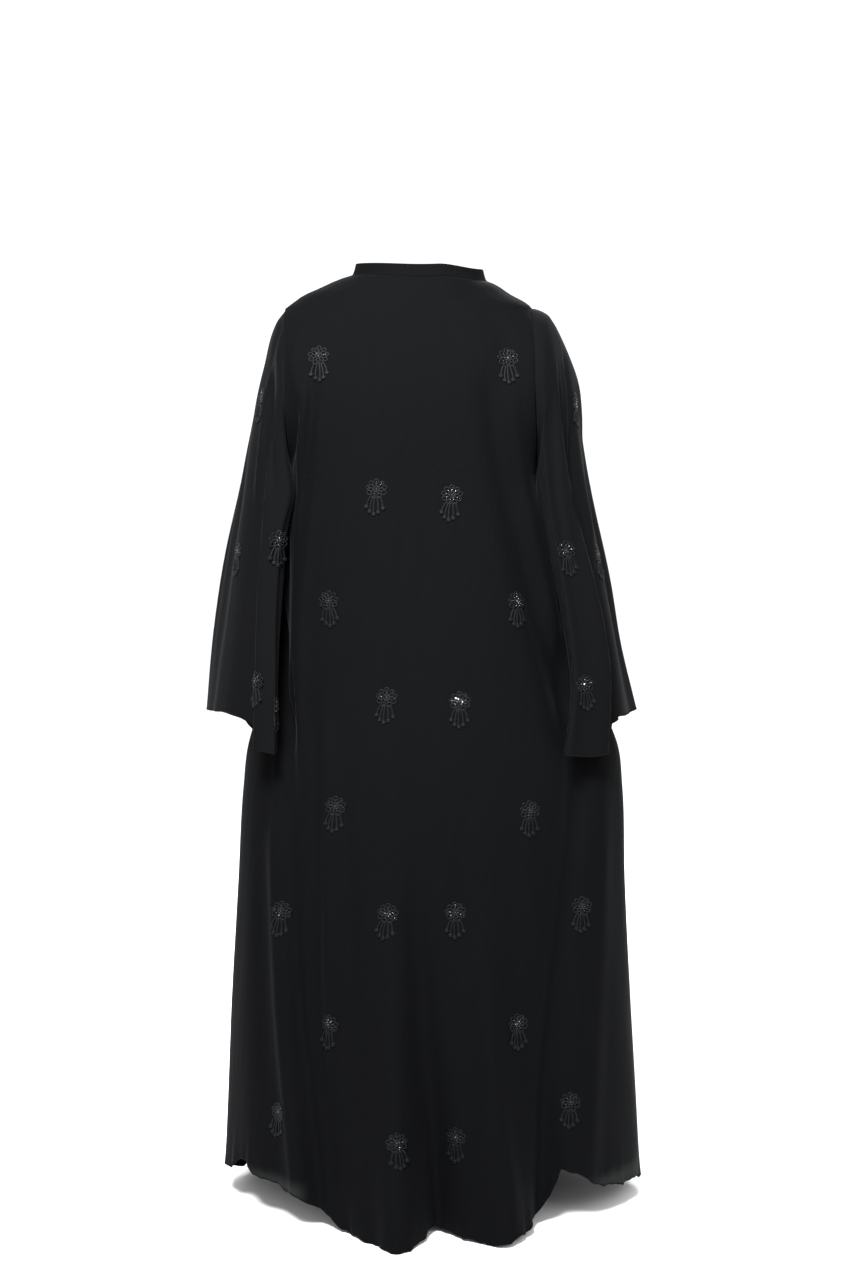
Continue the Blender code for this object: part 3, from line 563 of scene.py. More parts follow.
# Folds of each sleeve: angle round it at the armhole and the cuff (0 outside, 90 behind), where it starts and
# ends along it, height out, width in degrees, and how far its crest leans to the outer side
SLEEVE_FOLDS = {
    1: table(
        "start end first last size wide lean",
        (58, 62, 0.1, 1.1, 0.01, 9, 0.01),
        (40, 46, 0.12, 1.1, -0.016, 9, -0.006),
        (104, 100, 0.2, 1.1, -0.007, 12, 0),
        (8, 12, 0.25, 1.1, 0.006, 16, 0),
        (-30, -26, 0.2, 1.1, -0.008, 16, 0),
        (-72, -70, 0.25, 1.1, 0.008, 14, 0),
        (-105, -100, 0.3, 1.1, -0.006, 14, 0),
    ),
    -1: table(
        "start end first last size wide lean",
        (50, 52, 0.12, 1.1, 0.01, 9, 0.01),
        (34, 36, 0.12, 1.1, -0.016, 9, -0.006),
        (84, 86, 0.1, 1.1, 0.008, 8, -0.006),
        (97, 99, 0.1, 1.1, -0.013, 8, 0.005),
        (4, 6, 0.25, 1.1, 0.006, 16, 0),
        (-34, -30, 0.2, 1.1, -0.008, 16, 0),
        (-76, -72, 0.25, 1.1, 0.008, 14, 0),
        (-108, -102, 0.3, 1.1, -0.006, 14, 0),
    ),
}
# How far each cuff's hem is drawn up, in metres, by the angle round it
CUFF_LIFT = {
    1: ((-60, 0), (-36, 0.008), (-12, 0.02), (0, 0.025), (12, 0.032), (24, 0.035), (36, 0.032), (48, 0.013),
        (57, 0), (132, 0), (144, 0.006), (156, 0.021), (168, 0.024), (180, 0.019), (204, 0.011), (240, 0)),
    -1: ((-60, 0), (-24, 0.009), (-12, 0.015), (0, 0.019), (12, 0.025), (20, 0.02), (28, 0.004), (36, -0.009),
        (48, -0.012), (60, -0.011), (76, -0.004), (90, 0), (132, 0), (144, 0.006), (156, 0.028), (168, 0.026),
        (180, 0.02), (204, 0.01), (240, 0)),
}
# How far the folded strips at the back swing outward toward the cuff, in metres, by the angle round it
STRIP_SHIFT = {
    1: ((40, 0), (56, 0.01), (72, 0.011), (96, 0.01), (124, 0.007), (150, 0)),
    -1: ((20, 0), (36, 0.017), (48, 0.028), (60, 0.024), (72, 0.016), (84, 0.013), (96, 0.011), (120, 0.006), (142, 0)),
}


def strip_shift(side, degrees, along):
    at, out = np.array(STRIP_SHIFT[side]).T
    return side * np.interp(degrees, at, out, period=360) * ease(0.30, 0.88, along)


CLEAR = 0.007  # the sleeve hangs this clear of the body
TUCK = {1: 0.010, -1: 0.0}  # just under the armhole, at the back, its cloth tucks in by this


def sleeve_plain(side, angle, along):
    """The plain tube: a middle, two half axes and a bow to one side, running into the armhole's edge at its top."""
    columns = list(SLEEVES[side])[1:]
    mx, my, mz, ax, ay, az, bx, by, bz, bow = (read(SLEEVES[side], column, along) for column in columns)
    c, s = np.cos(angle), np.sin(angle)
    x = mx + ax * c + bx * s - bow * s * s
    y = my + ay * c + by * s + 0.3 * bow * s * s
    z = mz + az * c + bz * s
    seam = 1 - ease(0, 0.04, along)
    x = x + seam * (ARM_X + side * read(BODY, "centre", -z) - (mx + ax * c + bx * s))
    y = y + seam * (np.where(s > 0, ARM_BACK, ARM_FRONT) * s - (my + by * s))
    return np.stack((x * side, y, z), axis=-1)


def sleeve(side, angle, along):
    """The sleeve's outer face, with its folds, held clear of the body that it hangs over."""
    point = sleeve_plain(side, angle, along)
    across = sleeve_plain(side, angle + 1e-3, along) - sleeve_plain(side, angle - 1e-3, along)
    upper = np.minimum(along + 1e-3, 1)
    down = sleeve_plain(side, angle, upper) - sleeve_plain(side, angle, upper - 2e-3)
    out = side * np.cross(down, across)
    out /= np.linalg.norm(out, axis=-1, keepdims=True) + 1e-15
    tangent = -across / (np.linalg.norm(across, axis=-1, keepdims=True) + 1e-15)
    for start, end, first, last, size, wide, lean in zip(*SLEEVE_FOLDS[side].values()):
        off = (np.degrees(angle) - (start + (end - start) * along) + 180) % 360 - 180
        bump = (np.exp(-((off / wide) ** 2)) * ease(first - 0.08, first + 0.35, along))[..., None]
        point = point + bump * (size * out + lean * tangent)
    # held clear of the body's cloth, below the armhole
    below = -point[..., 2]
    centre, half = read(BODY, "centre", below), read(BODY, "half", below)
    power = read(BODY, "round", below)
    depth = np.where(point[..., 1] >= 0, read(BODY, "back", below), read(BODY, "front", below))
    qx, qy = (point[..., 0] - centre) / half, point[..., 1] / depth
    theta = np.arctan2(np.sign(qy) * np.abs(qy) ** (1 / power), np.sign(qx) * np.abs(qx) ** (1 / power))
    size = (np.abs(qx) ** (2 / power) + np.abs(qy) ** (2 / power)) ** (power / 2)
    reach = np.hypot(point[..., 0] - centre, point[..., 1])
    free = reach * (1 - 1 / size) - body_folds(theta, below)
    need = CLEAR * ease(0.288, 0.34, below)
    soft = 0.004
    move = soft * np.log1p(np.exp(np.clip((need - free) / soft, -30, 30))) * ease(0.288, 0.31, below)
    point[..., 0] += (point[..., 0] - centre) / reach * move
    point[..., 1] += point[..., 1] / reach * move
    return point


def even_round(side, alongs, count):
    """Angles that lie evenly round the sleeve's cloth at each row, from the seam under the arm."""
    seam = math.radians(246)
    fine = np.linspace(seam, seam + 2 * math.pi, 2001)
    out = np.empty((len(alongs), count))
    for i, along in enumerate(alongs[:, 0]):
        point = sleeve(side, fine, np.full_like(fine, along))
        far = np.concatenate(([0], np.cumsum(np.linalg.norm(np.diff(point, axis=0), axis=-1))))
        out[i] = np.interp(np.linspace(0, far[-1], count + 1)[:-1], far, fine)
    return out


SLEEVE_CREASES = {
    1: (
        (0.00544, 0.0035, 0.007, (0.2038, -0.058), (0.2118, -0.088), (0.2304, -0.154), (0.237, -0.21),
            (0.2424, -0.261), (0.2481, -0.311)),
        (-0.00576, 0.006, 0.007, (0.2092, -0.07), (0.2206, -0.108), (0.2259, -0.14), (0.2283, -0.18),
            (0.2264, -0.231), (0.2238, -0.296)),
        (-0.00416, 0.006, 0.004, (0.209, -0.09), (0.208, -0.13), (0.205, -0.17), (0.1991, -0.211), (0.1941, -0.262)),
    ),
    -1: (
        (-0.0064, 0.004, 0.006, (-0.2071, -0.1), (-0.212, -0.16), (-0.217, -0.215), (-0.216, -0.3),
            (-0.2156, -0.354)),
        (0.00512, 0.009, 0.006, (-0.21, -0.13), (-0.2235, -0.215), (-0.2401, -0.308), (-0.2481, -0.413)),
        (0.00384, 0.008, 0.008, (-0.19, -0.11), (-0.196, -0.2), (-0.198, -0.3), (-0.203, -0.4)),
    ),
}
# The same crepe as the body, its colours painted lighter: painted light for the light that falls on the sleeves.
SLEEVE_CREPE_PAINTED_LIGHT = crepe("crepe_sleeve", (0.0016, 0.0017, 0.0019), (0.0028, 0.0029, 0.0032))

alongs = np.concatenate((np.linspace(0, 0.06, 12), np.linspace(0.07, 0.985, 116), [0.990, 0.9945, 1.0]))[:, None]
for name, side in (("sleeve_left", 1), ("sleeve_right", -1)):
    angle = even_round(side, alongs, 184)
    grid = sleeve(side, angle, alongs)
    draw = np.random.default_rng(31 + side)
    wave = np.zeros(grid.shape[:2])
    for _ in range(9):
        turns, fall = draw.integers(4, 17), draw.uniform(0.4, 1.5)
        phase, sway = draw.uniform(0, 2 * math.pi, 2)
        wave += np.sin(turns * angle + 0.8 * np.sin(2 * math.pi * fall * alongs + sway) + phase) / math.sqrt(turns)
    normal = facing_of(grid, True) * side
    grid = grid + normal * (wave * (0.0002 + 0.0007 * ease(0.2, 0.9, alongs)))[..., None]
    grid = crease(grid, SLEEVE_CREASES[side], closed=True, flip=side, free=ease(0, 0.05, alongs))
    degrees = np.degrees(angle) % 360
    tuck = ease(62, 92, degrees) * (1 - ease(128, 172, degrees)) * np.exp(-(((grid[..., 2] + 0.318) / 0.040) ** 2))
    grid[..., 0] -= side * TUCK[side] * tuck
    grid[..., 0] += strip_shift(side, degrees, alongs)
    at, lift = np.array(CUFF_LIFT[side]).T
    grid[..., 2] += np.interp(degrees, at, lift, period=360) * ease(0.70, 1.0, alongs)
    # the first rows sink into the armhole seam
    sink = 0.0010 * (1 - ease(0, 0.012, alongs))
    grid = grid - facing_of(grid, True) * side * sink[..., None]
    grids[name] = grid
    mesh = crepe_mesh(name + "_tube", grid, flip=side == -1, closed=True)
    finish_sheet(mesh, name, SLEEVE_CREPE_PAINTED_LIGHT)

# ---------------------------------------------------------------------------------------------------------------
# The neckband: a straight strip of crepe folded double over a soft interlining, 16 mm tall, sewn round the
# neckline. It stands up and leans in a little, and its ends lap at the centre front.

BAND = 0.016
# Its section from the top down: height as a share of the band's, and how far it stands out
RISE = np.array([1.0, 1.02, 1.0, 0.94, 0.80, 0.62, 0.44, 0.28, 0.16, 0.02, -0.12])[:, None]
PROUD = np.array([-0.0012, -0.0004, 0.0004, 0.0008, 0.0008, 0.0007, 0.0007, 0.0008, 0.0010, 0.0014, 0.0022])[:, None]
turn = np.linspace(0, 1, 221)[None, :]
over = math.asin(LAP / BODY["half"][0])
theta = -math.pi / 2 - over + (2 * math.pi + 2 * over) * turn
foot = body(theta, np.full_like(theta, -0.005))
beneath = 0.0025 * (1 - ease(over * 2, over * 4, turn * (2 * math.pi + 2 * over)))  # the end under the lap
radial = foot[..., :2] / np.linalg.norm(foot[..., :2], axis=-1, keepdims=True)
grid = np.repeat(foot, len(RISE), axis=0)
grid[..., 2] += 0.0003 + RISE * (BAND - 0.0004)
grid[..., :2] += radial * (PROUD - 0.004 * RISE - beneath)[..., None]
finish_sheet(crepe_mesh("neckband_strip", grid), "neckband", BODY_CREPE)

# ---------------------------------------------------------------------------------------------------------------
# The hems: every cut edge of the skirt, the cuffs and the fronts is rolled twice and stitched down, which makes a
# narrow raised edge that catches the light. That light is also painted into their crepe, which is made lighter as a
# painted sheen.


HEM_WIDE, HEM_THICK = 0.0024, 0.0017


def rolled_hem(line, normal, inward, closed):
    """The points and faces of a flattened roll of cloth along an edge."""
    ring = np.linspace(0, 2 * math.pi, 9)[:-1]
    count = len(line)
    points = (
        line[:, None]
        + inward[:, None] * (HEM_WIDE * (0.42 + 0.5 * np.cos(ring)))[None, :, None]
        + normal[:, None] * (HEM_THICK * 0.5 * np.sin(ring) - CLOTH * 0.5)[None, :, None]
    )
    i, j = np.meshgrid(np.arange(count if closed else count - 1), np.arange(8), indexing="ij")
    n, k = (i + 1) % count, (j + 1) % 8
    faces = np.stack((i * 8 + j, i * 8 + k, n * 8 + k, n * 8 + j), axis=-1).reshape(-1, 4).tolist()
    if not closed:
        faces += [list(range(7, -1, -1)), [(count - 1) * 8 + k for k in range(8)]]
    return points.reshape(-1, 3).tolist(), faces


# (panel, edge, closed, which way its normals face)
EDGES = (
    ("back", "low", False, 1),
    ("front_left", "low", False, -1),
    ("front_right", "low", False, 1),
    ("front_left", "last", False, -1),
    ("front_right", "last", False, 1),
    ("sleeve_left", "low", True, 1),
    ("sleeve_right", "low", True, -1),
)
# The same crepe as the body, its colours painted lighter: a painted sheen for the light on the raised edges.
HEM_CREPE_PAINTED_SHEEN = crepe("crepe_hem", (0.0024, 0.0026, 0.0029), (0.0038, 0.0040, 0.0044))


def edge_of(panel, edge, closed, flip):
    """A panel's edge: its points, the cloth's normals there and the way in from the edge."""
    grid = grids[panel]
    normal = facing_of(grid, closed) * flip
    if edge == "low":
        line, face, inner = grid[-1], normal[-1], grid[-5] - grid[-1]
    else:
        line, face, inner = grid[:, -1], normal[:, -1], grid[:, -3] - grid[:, -1]
    inner = inner - face * (inner * face).sum(axis=-1, keepdims=True)
    return line, face, inner / (np.linalg.norm(inner, axis=-1, keepdims=True) + 1e-12)


points, faces = [], []
for panel, edge, closed, flip in EDGES:
    more, corners = rolled_hem(*edge_of(panel, edge, closed, flip), closed)
    faces += [[len(points) + corner for corner in face] for face in corners]
    points += more
mesh = bpy.data.meshes.new("rolled_hems")
mesh.from_pydata(points, [], faces)
mesh.uv_layers.new(name="cloth")
mesh.shade_smooth()
mesh.materials.append(HEM_CREPE_PAINTED_SHEEN)
hems = bpy.data.objects.new("rolled_hems", mesh)
bpy.context.scene.collection.objects.link(hems)
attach(hems, "root")

# ---------------------------------------------------------------------------------------------------------------
# The lace: 45 guipure flowers, each worked in satin thread as one stiff piece and sewn on flat. Nine ringed petals
# surround a ring with a stone and scattered glass beads, and five wrapped cords fan down from it to padded dots.

PETALS = 9
FLOWER_W, FLOWER_H = 0.0122, 0.0108  # from the centre to the petals' middles, across and up
PETAL, THREAD = 0.0032, 0.00118  # radius of a petal's ring, half width of its wrapped thread
LACE_T = 0.62  # the threads' height against their width
HUB, EYE = 0.0052, 0.0025  # radii of the two rings in the middle
DOTS = ((-0.0146, -0.0255), (-0.0098, -0.0325), (-0.0040, -0.0362), (0.0026, -0.0335), (0.0096, -0.0280))
ROOTS = ((-0.0088, -0.0112), (-0.0050, -0.0126), (-0.0022, -0.0130), (0.0012, -0.0128), (0.0056, -0.0120))


def lace_paths():
    """The motif's threads as lines and its beads as points, flat: u to the right, v up, in metres."""
    points, edges, thick, kind = [], [], [], []

    def line(spots, wide, closed=False):
        first = len(points)
        for u, v in spots:
            points.append((u, v, 0.0))
            thick.append(wide)
            kind.append(0)
        edges.extend((first + k, first + k + 1) for k in range(len(spots) - 1))
        if closed:
            edges.append((len(points) - 1, first))

    def ring(u, v, radius, wide, count, squash=1.0):
        turns = (2 * math.pi * k / count for k in range(count))
        line([(u + radius * math.cos(t), v + radius * squash * math.sin(t)) for t in turns], wide, True)

    def spot(u, v, radius, sort):
        points.append((u, v, 0.0))
        thick.append(radius)
        kind.append(sort)

    for k in range(PETALS):
        turn = math.radians(90 + 360 / PETALS * k)
        u, v = FLOWER_W * math.cos(turn), FLOWER_H * math.sin(turn)
        size = PETAL * (1 + 0.10 * math.sin(5.3 * k))
        ring(u, v, size, THREAD * 1.02, 14, 0.94 + 0.06 * math.cos(2.1 * k))
        near = (HUB + 0.0002) / FLOWER_W
        line([(u * near, v * near), (u * 0.60, v * 0.60), (u * 0.74, v * 0.74)], THREAD * 1.05)
        spot(u * 0.66, v * 0.66, 0.00082, 2)
        if k % 2 == 0:
            spot(u * 0.98 + 0.0006, v * 0.98, 0.00074, 2)
    ring(0, 0, HUB, THREAD * 1.08, 22, 0.92)
    ring(0, 0, EYE, THREAD * 0.85, 14)
    for k in range(6):
        turn = math.radians(25 + 60 * k)
        c, s = math.cos(turn), math.sin(turn)
        line([(0.0026 * c, EYE * s), (HUB * c, 0.0048 * s)], THREAD * 0.8)
        spot(0.0040 * math.cos(turn + 0.5), 0.0037 * math.sin(turn + 0.5), 0.00078, 2)
    spot(0, 0, 0.0017, 3)
    for (u0, v0), (u1, v1) in zip(ROOTS, DOTS):
        bow = 0.0008 if u1 > -0.004 else -0.0008
        steps = [k / 7 for k in range(8)]
        line([(u0 + (u1 - u0) * t + bow * math.sin(math.pi * t), v0 + (v1 - v0) * t) for t in steps], THREAD * 1.12)
        spot(u1, v1, 0.0032, 1)
    line([(u, v + 0.0006) for u, v in ROOTS], THREAD * 0.9)
    mesh = bpy.data.meshes.new("lace_paths")
    mesh.from_pydata(points, edges, [])
    mesh.attributes.new("wide", "FLOAT", "POINT").data.foreach_set("value", thick)
    mesh.attributes.new("kind", "INT", "POINT").data.foreach_set("value", kind)
    return mesh


def padded_dot():
    """A satin-stitched dot: a low round pad with a slight hollow, 1 m in radius, laid flat."""
    sides, profile = 14, ((1.0, -0.10), (1.02, 0.14), (0.88, 0.36), (0.62, 0.48), (0.30, 0.44))
    turns = [2 * math.pi * k / sides for k in range(sides)]
    points = [(r * math.cos(t), r * math.sin(t), h) for r, h in profile for t in turns]
    points.append((0, 0, 0.38))
    faces = []
    for low in range(0, (len(profile) - 1) * sides, sides):
        for k in range(sides):
            n = (k + 1) % sides
            faces.append((low + k, low + n, low + sides + n, low + sides + k))
    top = (len(profile) - 1) * sides
    faces += [(top + k, top + (k + 1) % sides, len(points) - 1) for k in range(sides)]
    faces.append(tuple(reversed(range(sides))))
    mesh = bpy.data.meshes.new("padded_dot")
    mesh.from_pydata(points, [], faces)
    mesh.shade_smooth()
    return mesh


def cut_stone():
    """A flat-topped stone of eight sides, 1 m in radius, set on its wide end."""
    points = []
    for r, h, turned in ((0.96, 0.0, 0), (1, 0.25, 0), (0.58, 0.72, 0.39)):
        turns = [math.pi / 4 * k + turned for k in range(8)]
        points += [(r * math.cos(t), r * math.sin(t), h) for t in turns]
    faces = [(low + k, low + (k + 1) % 8, low + 8 + (k + 1) % 8, low + 8 + k) for low in (0, 8) for k in range(8)]
    faces += [tuple(16 + k for k in range(8)), tuple(reversed(range(8)))]
    mesh = bpy.data.meshes.new("cut_stone")
    mesh.from_pydata(points, [], faces)
    return mesh


def lace_tree(thread, glass, foil, dot, stone):
    """Wraps each line in thread and sets the dots, the beads and the stone on their points."""
    tree = bpy.data.node_groups.new("lace", "GeometryNodeTree")
    face = tree.interface
    face.new_socket("Paths", in_out="INPUT", socket_type="NodeSocketGeometry")
    face.new_socket("Seed", in_out="INPUT", socket_type="NodeSocketInt")
    face.new_socket("Black beads", in_out="INPUT", socket_type="NodeSocketFloat")
    face.new_socket("Bright beads", in_out="INPUT", socket_type="NodeSocketFloat")
    face.new_socket("Lace", in_out="OUTPUT", socket_type="NodeSocketGeometry")

    def node(kind, settings=(), **sockets):
        made = tree.nodes.new(kind)
        for name, value in dict(settings).items():
            setattr(made, name, value)
        for key, value in sockets.items():
            socket = made.inputs[int(key[1:])] if key[1:].isdigit() else made.inputs[key.replace("_", " ")]
            if hasattr(value, "is_output"):
                tree.links.new(value, socket)
            else:
                socket.default_value = value
        return made

    given = node("NodeGroupInput").outputs
    kind = node("GeometryNodeInputNamedAttribute", {"data_type": "INT"}, Name="kind").outputs[0]
    wide = node("GeometryNodeInputNamedAttribute", {"data_type": "FLOAT"}, Name="wide").outputs[0]

    def chosen(number):
        return node("FunctionNodeCompare", {"data_type": "INT", "operation": "EQUAL"}, _2=kind, _3=number).outputs[0]

    lines = node("GeometryNodeMeshToCurve", {}, Mesh=given[0], Selection=chosen(0)).outputs[0]
    lines = node("GeometryNodeSetCurveRadius", {}, Curve=lines, Radius=wide).outputs[0]
    section = node("GeometryNodeCurvePrimitiveCircle", {"mode": "RADIUS"}, Resolution=8, Radius=1.0).outputs[0]
    threads = node("GeometryNodeCurveToMesh", {}, Curve=lines, Profile_Curve=section, Scale=wide, Fill_Caps=True)
    threads = threads.outputs[0]
    threads = node("GeometryNodeTransform", {}, Geometry=threads, Scale=(1, 1, LACE_T)).outputs[0]
    threads = node("GeometryNodeSetMaterial", {}, Geometry=threads, Material=thread).outputs[0]
    parts = [threads]
    for number, source, material, height, share in (
        (1, dot, thread, 0.0, None),
        (2, None, glass, 0.0007, given[2]),
        (2, None, foil, 0.0009, given[3]),
        (3, stone, glass, 0.0003, None),
    ):
        where = chosen(number)
        if source is None:
            own = node("ShaderNodeMath", {"operation": "ADD"}, _0=given[1], _1=share).outputs[0]
            some = node("FunctionNodeRandomValue", {"data_type": "BOOLEAN"}, Probability=share, Seed=own).outputs[3]
            where = node("FunctionNodeBooleanMath", {"operation": "AND"}, _0=where, _1=some).outputs[0]
            shape = node("GeometryNodeMeshIcoSphere", {}, Radius=1.0, Subdivisions=2).outputs[0]
        else:
            shape = node("GeometryNodeObjectInfo", {}, Object=source).outputs["Geometry"]
        spots = node("GeometryNodeMeshToPoints", {}, Mesh=given[0], Selection=where).outputs[0]
        spots = node("GeometryNodeSetPosition", {}, Geometry=spots, Offset=(0, 0, height)).outputs[0]
        placed = node("GeometryNodeInstanceOnPoints", {}, Points=spots, Instance=shape, Scale=wide).outputs[0]
        placed = node("GeometryNodeRealizeInstances", {}, Geometry=placed).outputs[0]
        parts.append(node("GeometryNodeSetMaterial", {}, Geometry=placed, Material=material).outputs[0])
    join = node("GeometryNodeJoinGeometry")
    for part in reversed(parts):
        tree.links.new(part, join.inputs[0])
    tree.links.new(join.outputs[0], node("NodeGroupOutput").inputs[0])
    return tree


def satin_thread():
    """Black satin thread, a little greyer than the crepe, with the fine ridges of its wrapping."""
    made = bpy.data.materials.new("satin_thread")
    made.use_nodes = True
    shader = made.node_tree.nodes["Principled BSDF"]
    start = Wire(made.node_tree)
    place = start.node("TexCoord", out="Object")
    ridges = start.node("TexNoise", {}, {"Vector": place, "Scale": 1500.0, "Detail": 1.0})
    tone = start.node("TexNoise", {}, {"Vector": place, "Scale": 90.0, "Detail": 1.0})
    start.blend(tone, (0.0020, 0.0022, 0.0025, 1), (0.0037, 0.0040, 0.0044, 1)).into(shader.inputs["Base Color"])
    (0.42 + ridges * 0.16).into(shader.inputs["Roughness"])
    shader.inputs["Specular IOR Level"].default_value = 0.055
    shader.inputs["Sheen Weight"].default_value = 0.015
    shader.inputs["Sheen Roughness"].default_value = 0.30
    start.node("Bump", {}, {"Strength": 0.6, "Distance": 0.0002, "Height": ridges}).into(shader.inputs["Normal"])
    return made


def shiny(name, colour, metallic, roughness):
    """Glass beads and foiled stones, whose facets are small enough to be evenly coloured."""
    made = bpy.data.materials.new(name)
    made.use_nodes = True
    shader = made.node_tree.nodes["Principled BSDF"]
    shader.inputs["Base Color"].default_value = (*colour, 1)
    shader.inputs["Metallic"].default_value = metallic
    shader.inputs["Roughness"].default_value = roughness
    return made


# Where each flower is sewn on: behind (1) or in front (0), x, z, which way its cords lean, its turn in degrees
ON_BODY = (
    (1, 0.1544, -0.1159, -1, 0), (1, -0.1201, -0.1193, 1, -6), (1, 0.07, -0.3078, 1, 0),
    (1, -0.0389, -0.3164, 1, 2), (1, 0.1399, -0.4698, -1, 0), (1, -0.1334, -0.4712, 1, 0),
    (1, 0.055, -0.6069, 1, 0), (1, -0.0503, -0.6127, 1, -3), (1, 0.1295, -0.7654, 1, 0),
    (1, -0.1519, -0.7714, 1, -2), (1, 0.2106, -0.9258, 1, 3), (1, 0.0536, -0.9153, 1, 3),
    (1, -0.0438, -0.9143, 1, -4), (1, -0.2309, -0.9209, 1, 0), (1, 0.1396, -1.0824, 1, 2),
    (1, -0.134, -1.0794, 1, -5), (1, 0.2146, -1.2239, 1, 4), (1, 0.04, -1.2378, -1, 0),
    (1, -0.0445, -1.2399, 1, -4), (1, -0.2133, -1.2049, 1, 0), (0, 0.115, -0.15, -1, 0), (0, 0.062, -0.335, 1, 2),
    (0, 0.15, -0.48, -1, 0), (0, 0.06, -0.64, 1, 0), (0, 0.145, -0.8, -1, -3), (0, 0.068, -0.945, 1, 0),
    (0, 0.15, -1.1, -1, 3), (0, 0.064, -1.255, 1, 0), (0, -0.1, -0.155, 1, 0), (0, -0.062, -0.34, -1, 0),
    (0, -0.14, -0.49, 1, 3), (0, -0.062, -0.632, -1, 0), (0, -0.15, -0.79, 1, 0), (0, -0.064, -0.94, -1, -2),
    (0, -0.14, -1.095, 1, 0), (0, -0.064, -1.25, -1, 2),
)
# On the sleeves: side, angle round the sleeve, place along it, lean, turn
ON_SLEEVES = (
    (1, 12, 0.218, 1, -6), (1, 5, 0.621, 1, -8), (1, 62, 0.86, 1, -8), (1, 84, 0.484, 1, 0), (1, 92, 0.893, 1, 0),
    (-1, 2, 0.236, -1, 6), (-1, 6, 0.631, -1, 6), (-1, 72, 0.856, -1, 0), (-1, 70, 0.54, -1, 0),
)


BLACK_BEADS, BRIGHT_BEADS = 0.78, 0.05  # share of the places for beads that hold a black or a bright one


def flower(seed):
    """One motif as a plain flat mesh, its beads scattered by its seed."""
    item = bpy.data.objects.new("flower", lace_paths())
    bpy.context.scene.collection.objects.link(item)
    made = item.modifiers.new("lace", "NODES")
    made.node_group = LACE_TREE
    given = LACE_TREE.interface.items_tree
    sockets = {socket.name: socket.identifier for socket in given if socket.in_out == "INPUT"}
    made[sockets["Seed"]] = seed
    made[sockets["Black beads"]], made[sockets["Bright beads"]] = BLACK_BEADS, BRIGHT_BEADS
    shown = item.evaluated_get(bpy.context.evaluated_depsgraph_get())
    mesh = bpy.data.meshes.new_from_object(shown)
    bpy.data.objects.remove(item)
    return mesh


LACE_OFF = 0.00072  # the middle of the lace's threads lies this far off the cloth
LACE_SAG = 0.0045  # it follows a hollow of the cloth at most this far


def sewn_on(mesh, tree, point, guess, lean, turn):
    """Lays a flat motif on the cloth under it. Stiff lace bridges hollows and stands off at a sharp bend."""
    side = guess.cross(Vector((0, 0, 1))).normalized()
    normal = Vector((0, 0, 0))
    for du, dv in ((0, 0), (0.012, 0), (-0.012, 0), (0, 0.012), (0, -0.02), (0, -0.032)):
        hit = tree.ray_cast(point + side * du + Vector((0, 0, dv)) + guess * 0.02, -guess, 0.06)
        if hit[0]:
            normal += hit[1] if hit[1].dot(guess) > 0 else -hit[1]
    normal = normal.normalized() if normal.length > 0.1 else guess
    up = (Vector((0, 0, 1)) - normal * normal.z).normalized()
    right = up.cross(normal)
    c, s = math.cos(math.radians(turn)), math.sin(math.radians(turn))
    up, right = up * c + right * s, right * c - up * s
    right = right * lean
    us, vs = np.linspace(-0.0195, 0.0195, 14), np.linspace(-0.0410, 0.0165, 20)
    depth = np.full((20, 14), np.nan)
    for i, v in enumerate(vs):
        for j, u in enumerate(us):
            hit = tree.ray_cast(point + right * u + up * v + normal * 0.025, -normal, 0.045)[0]
            if hit is not None:
                depth[i, j] = (hit - point).dot(normal)
    depth = np.where(np.isnan(depth), -0.02, depth)
    depth = np.maximum(depth, LACE_SAG * np.tanh(depth / LACE_SAG))
    for _ in range(3):
        soft = np.pad(depth, 1, mode="edge")
        soft = (soft[:-2, 1:-1] + soft[2:, 1:-1] + soft[1:-1, :-2] + soft[1:-1, 2:]) / 4
        depth = np.maximum(depth, soft)
    flat = np.empty(len(mesh.vertices) * 3)
    mesh.vertices.foreach_get("co", flat)
    flat = flat.reshape(-1, 3)
    fu = np.clip((flat[:, 0] - us[0]) / (us[1] - us[0]), 0, 12.999)
    fv = np.clip((flat[:, 1] - vs[0]) / (vs[1] - vs[0]), 0, 18.999)
    j, i = fu.astype(int), fv.astype(int)
    fu, fv = fu - j, fv - i
    low = depth[i, j] * (1 - fu) + depth[i, j + 1] * fu
    high = depth[i + 1, j] * (1 - fu) + depth[i + 1, j + 1] * fu
    height = low * (1 - fv) + high * fv + flat[:, 2] + LACE_OFF
    laid = np.array(point) + flat[:, :1] * np.array(right) + flat[:, 1:2] * np.array(up)
    laid = laid + height[:, None] * np.array(normal)
    mesh.vertices.foreach_set("co", laid.ravel())
    if lean < 0:
        mesh.flip_normals()
    mesh.update()
    return mesh


def panel_tree(name, closed):
    """A panel's faces, to find the cloth under a motif."""
    faces = grid_faces(*grids[name].shape[:2], closed)[-1].reshape(-1, 4)
    return BVHTree.FromPolygons(grids[name].reshape(-1, 3).tolist(), faces.tolist())


THREAD_BLACK, GLASS = satin_thread(), shiny("black_glass", (0.055, 0.057, 0.06), 0.85, 0.16)
FOIL = shiny("foiled_stone", (0.50, 0.52, 0.54), 1.0, 0.12)
shapes = {}
for made in (padded_dot(), cut_stone()):
    shapes[made.name] = bpy.data.objects.new(made.name, made)
LACE_TREE = lace_tree(THREAD_BLACK, GLASS, FOIL, shapes["padded_dot"], shapes["cut_stone"])
trees = {name: panel_tree(name, name.startswith("sleeve")) for name in grids}
pieces = {name: [] for name in trees}
count = 0
for rear, x, z, lean, turn in ON_BODY:
    panel = "back" if rear else ("front_left" if x > 0 else "front_right")
    toward = Vector((0, 1 if rear else -1, 0))
    point = trees[panel].ray_cast(Vector((x, toward.y, z)), -toward)[0]
    count += 1
    pieces[panel].append((count, sewn_on(flower(count), trees[panel], point, toward, lean, turn)))
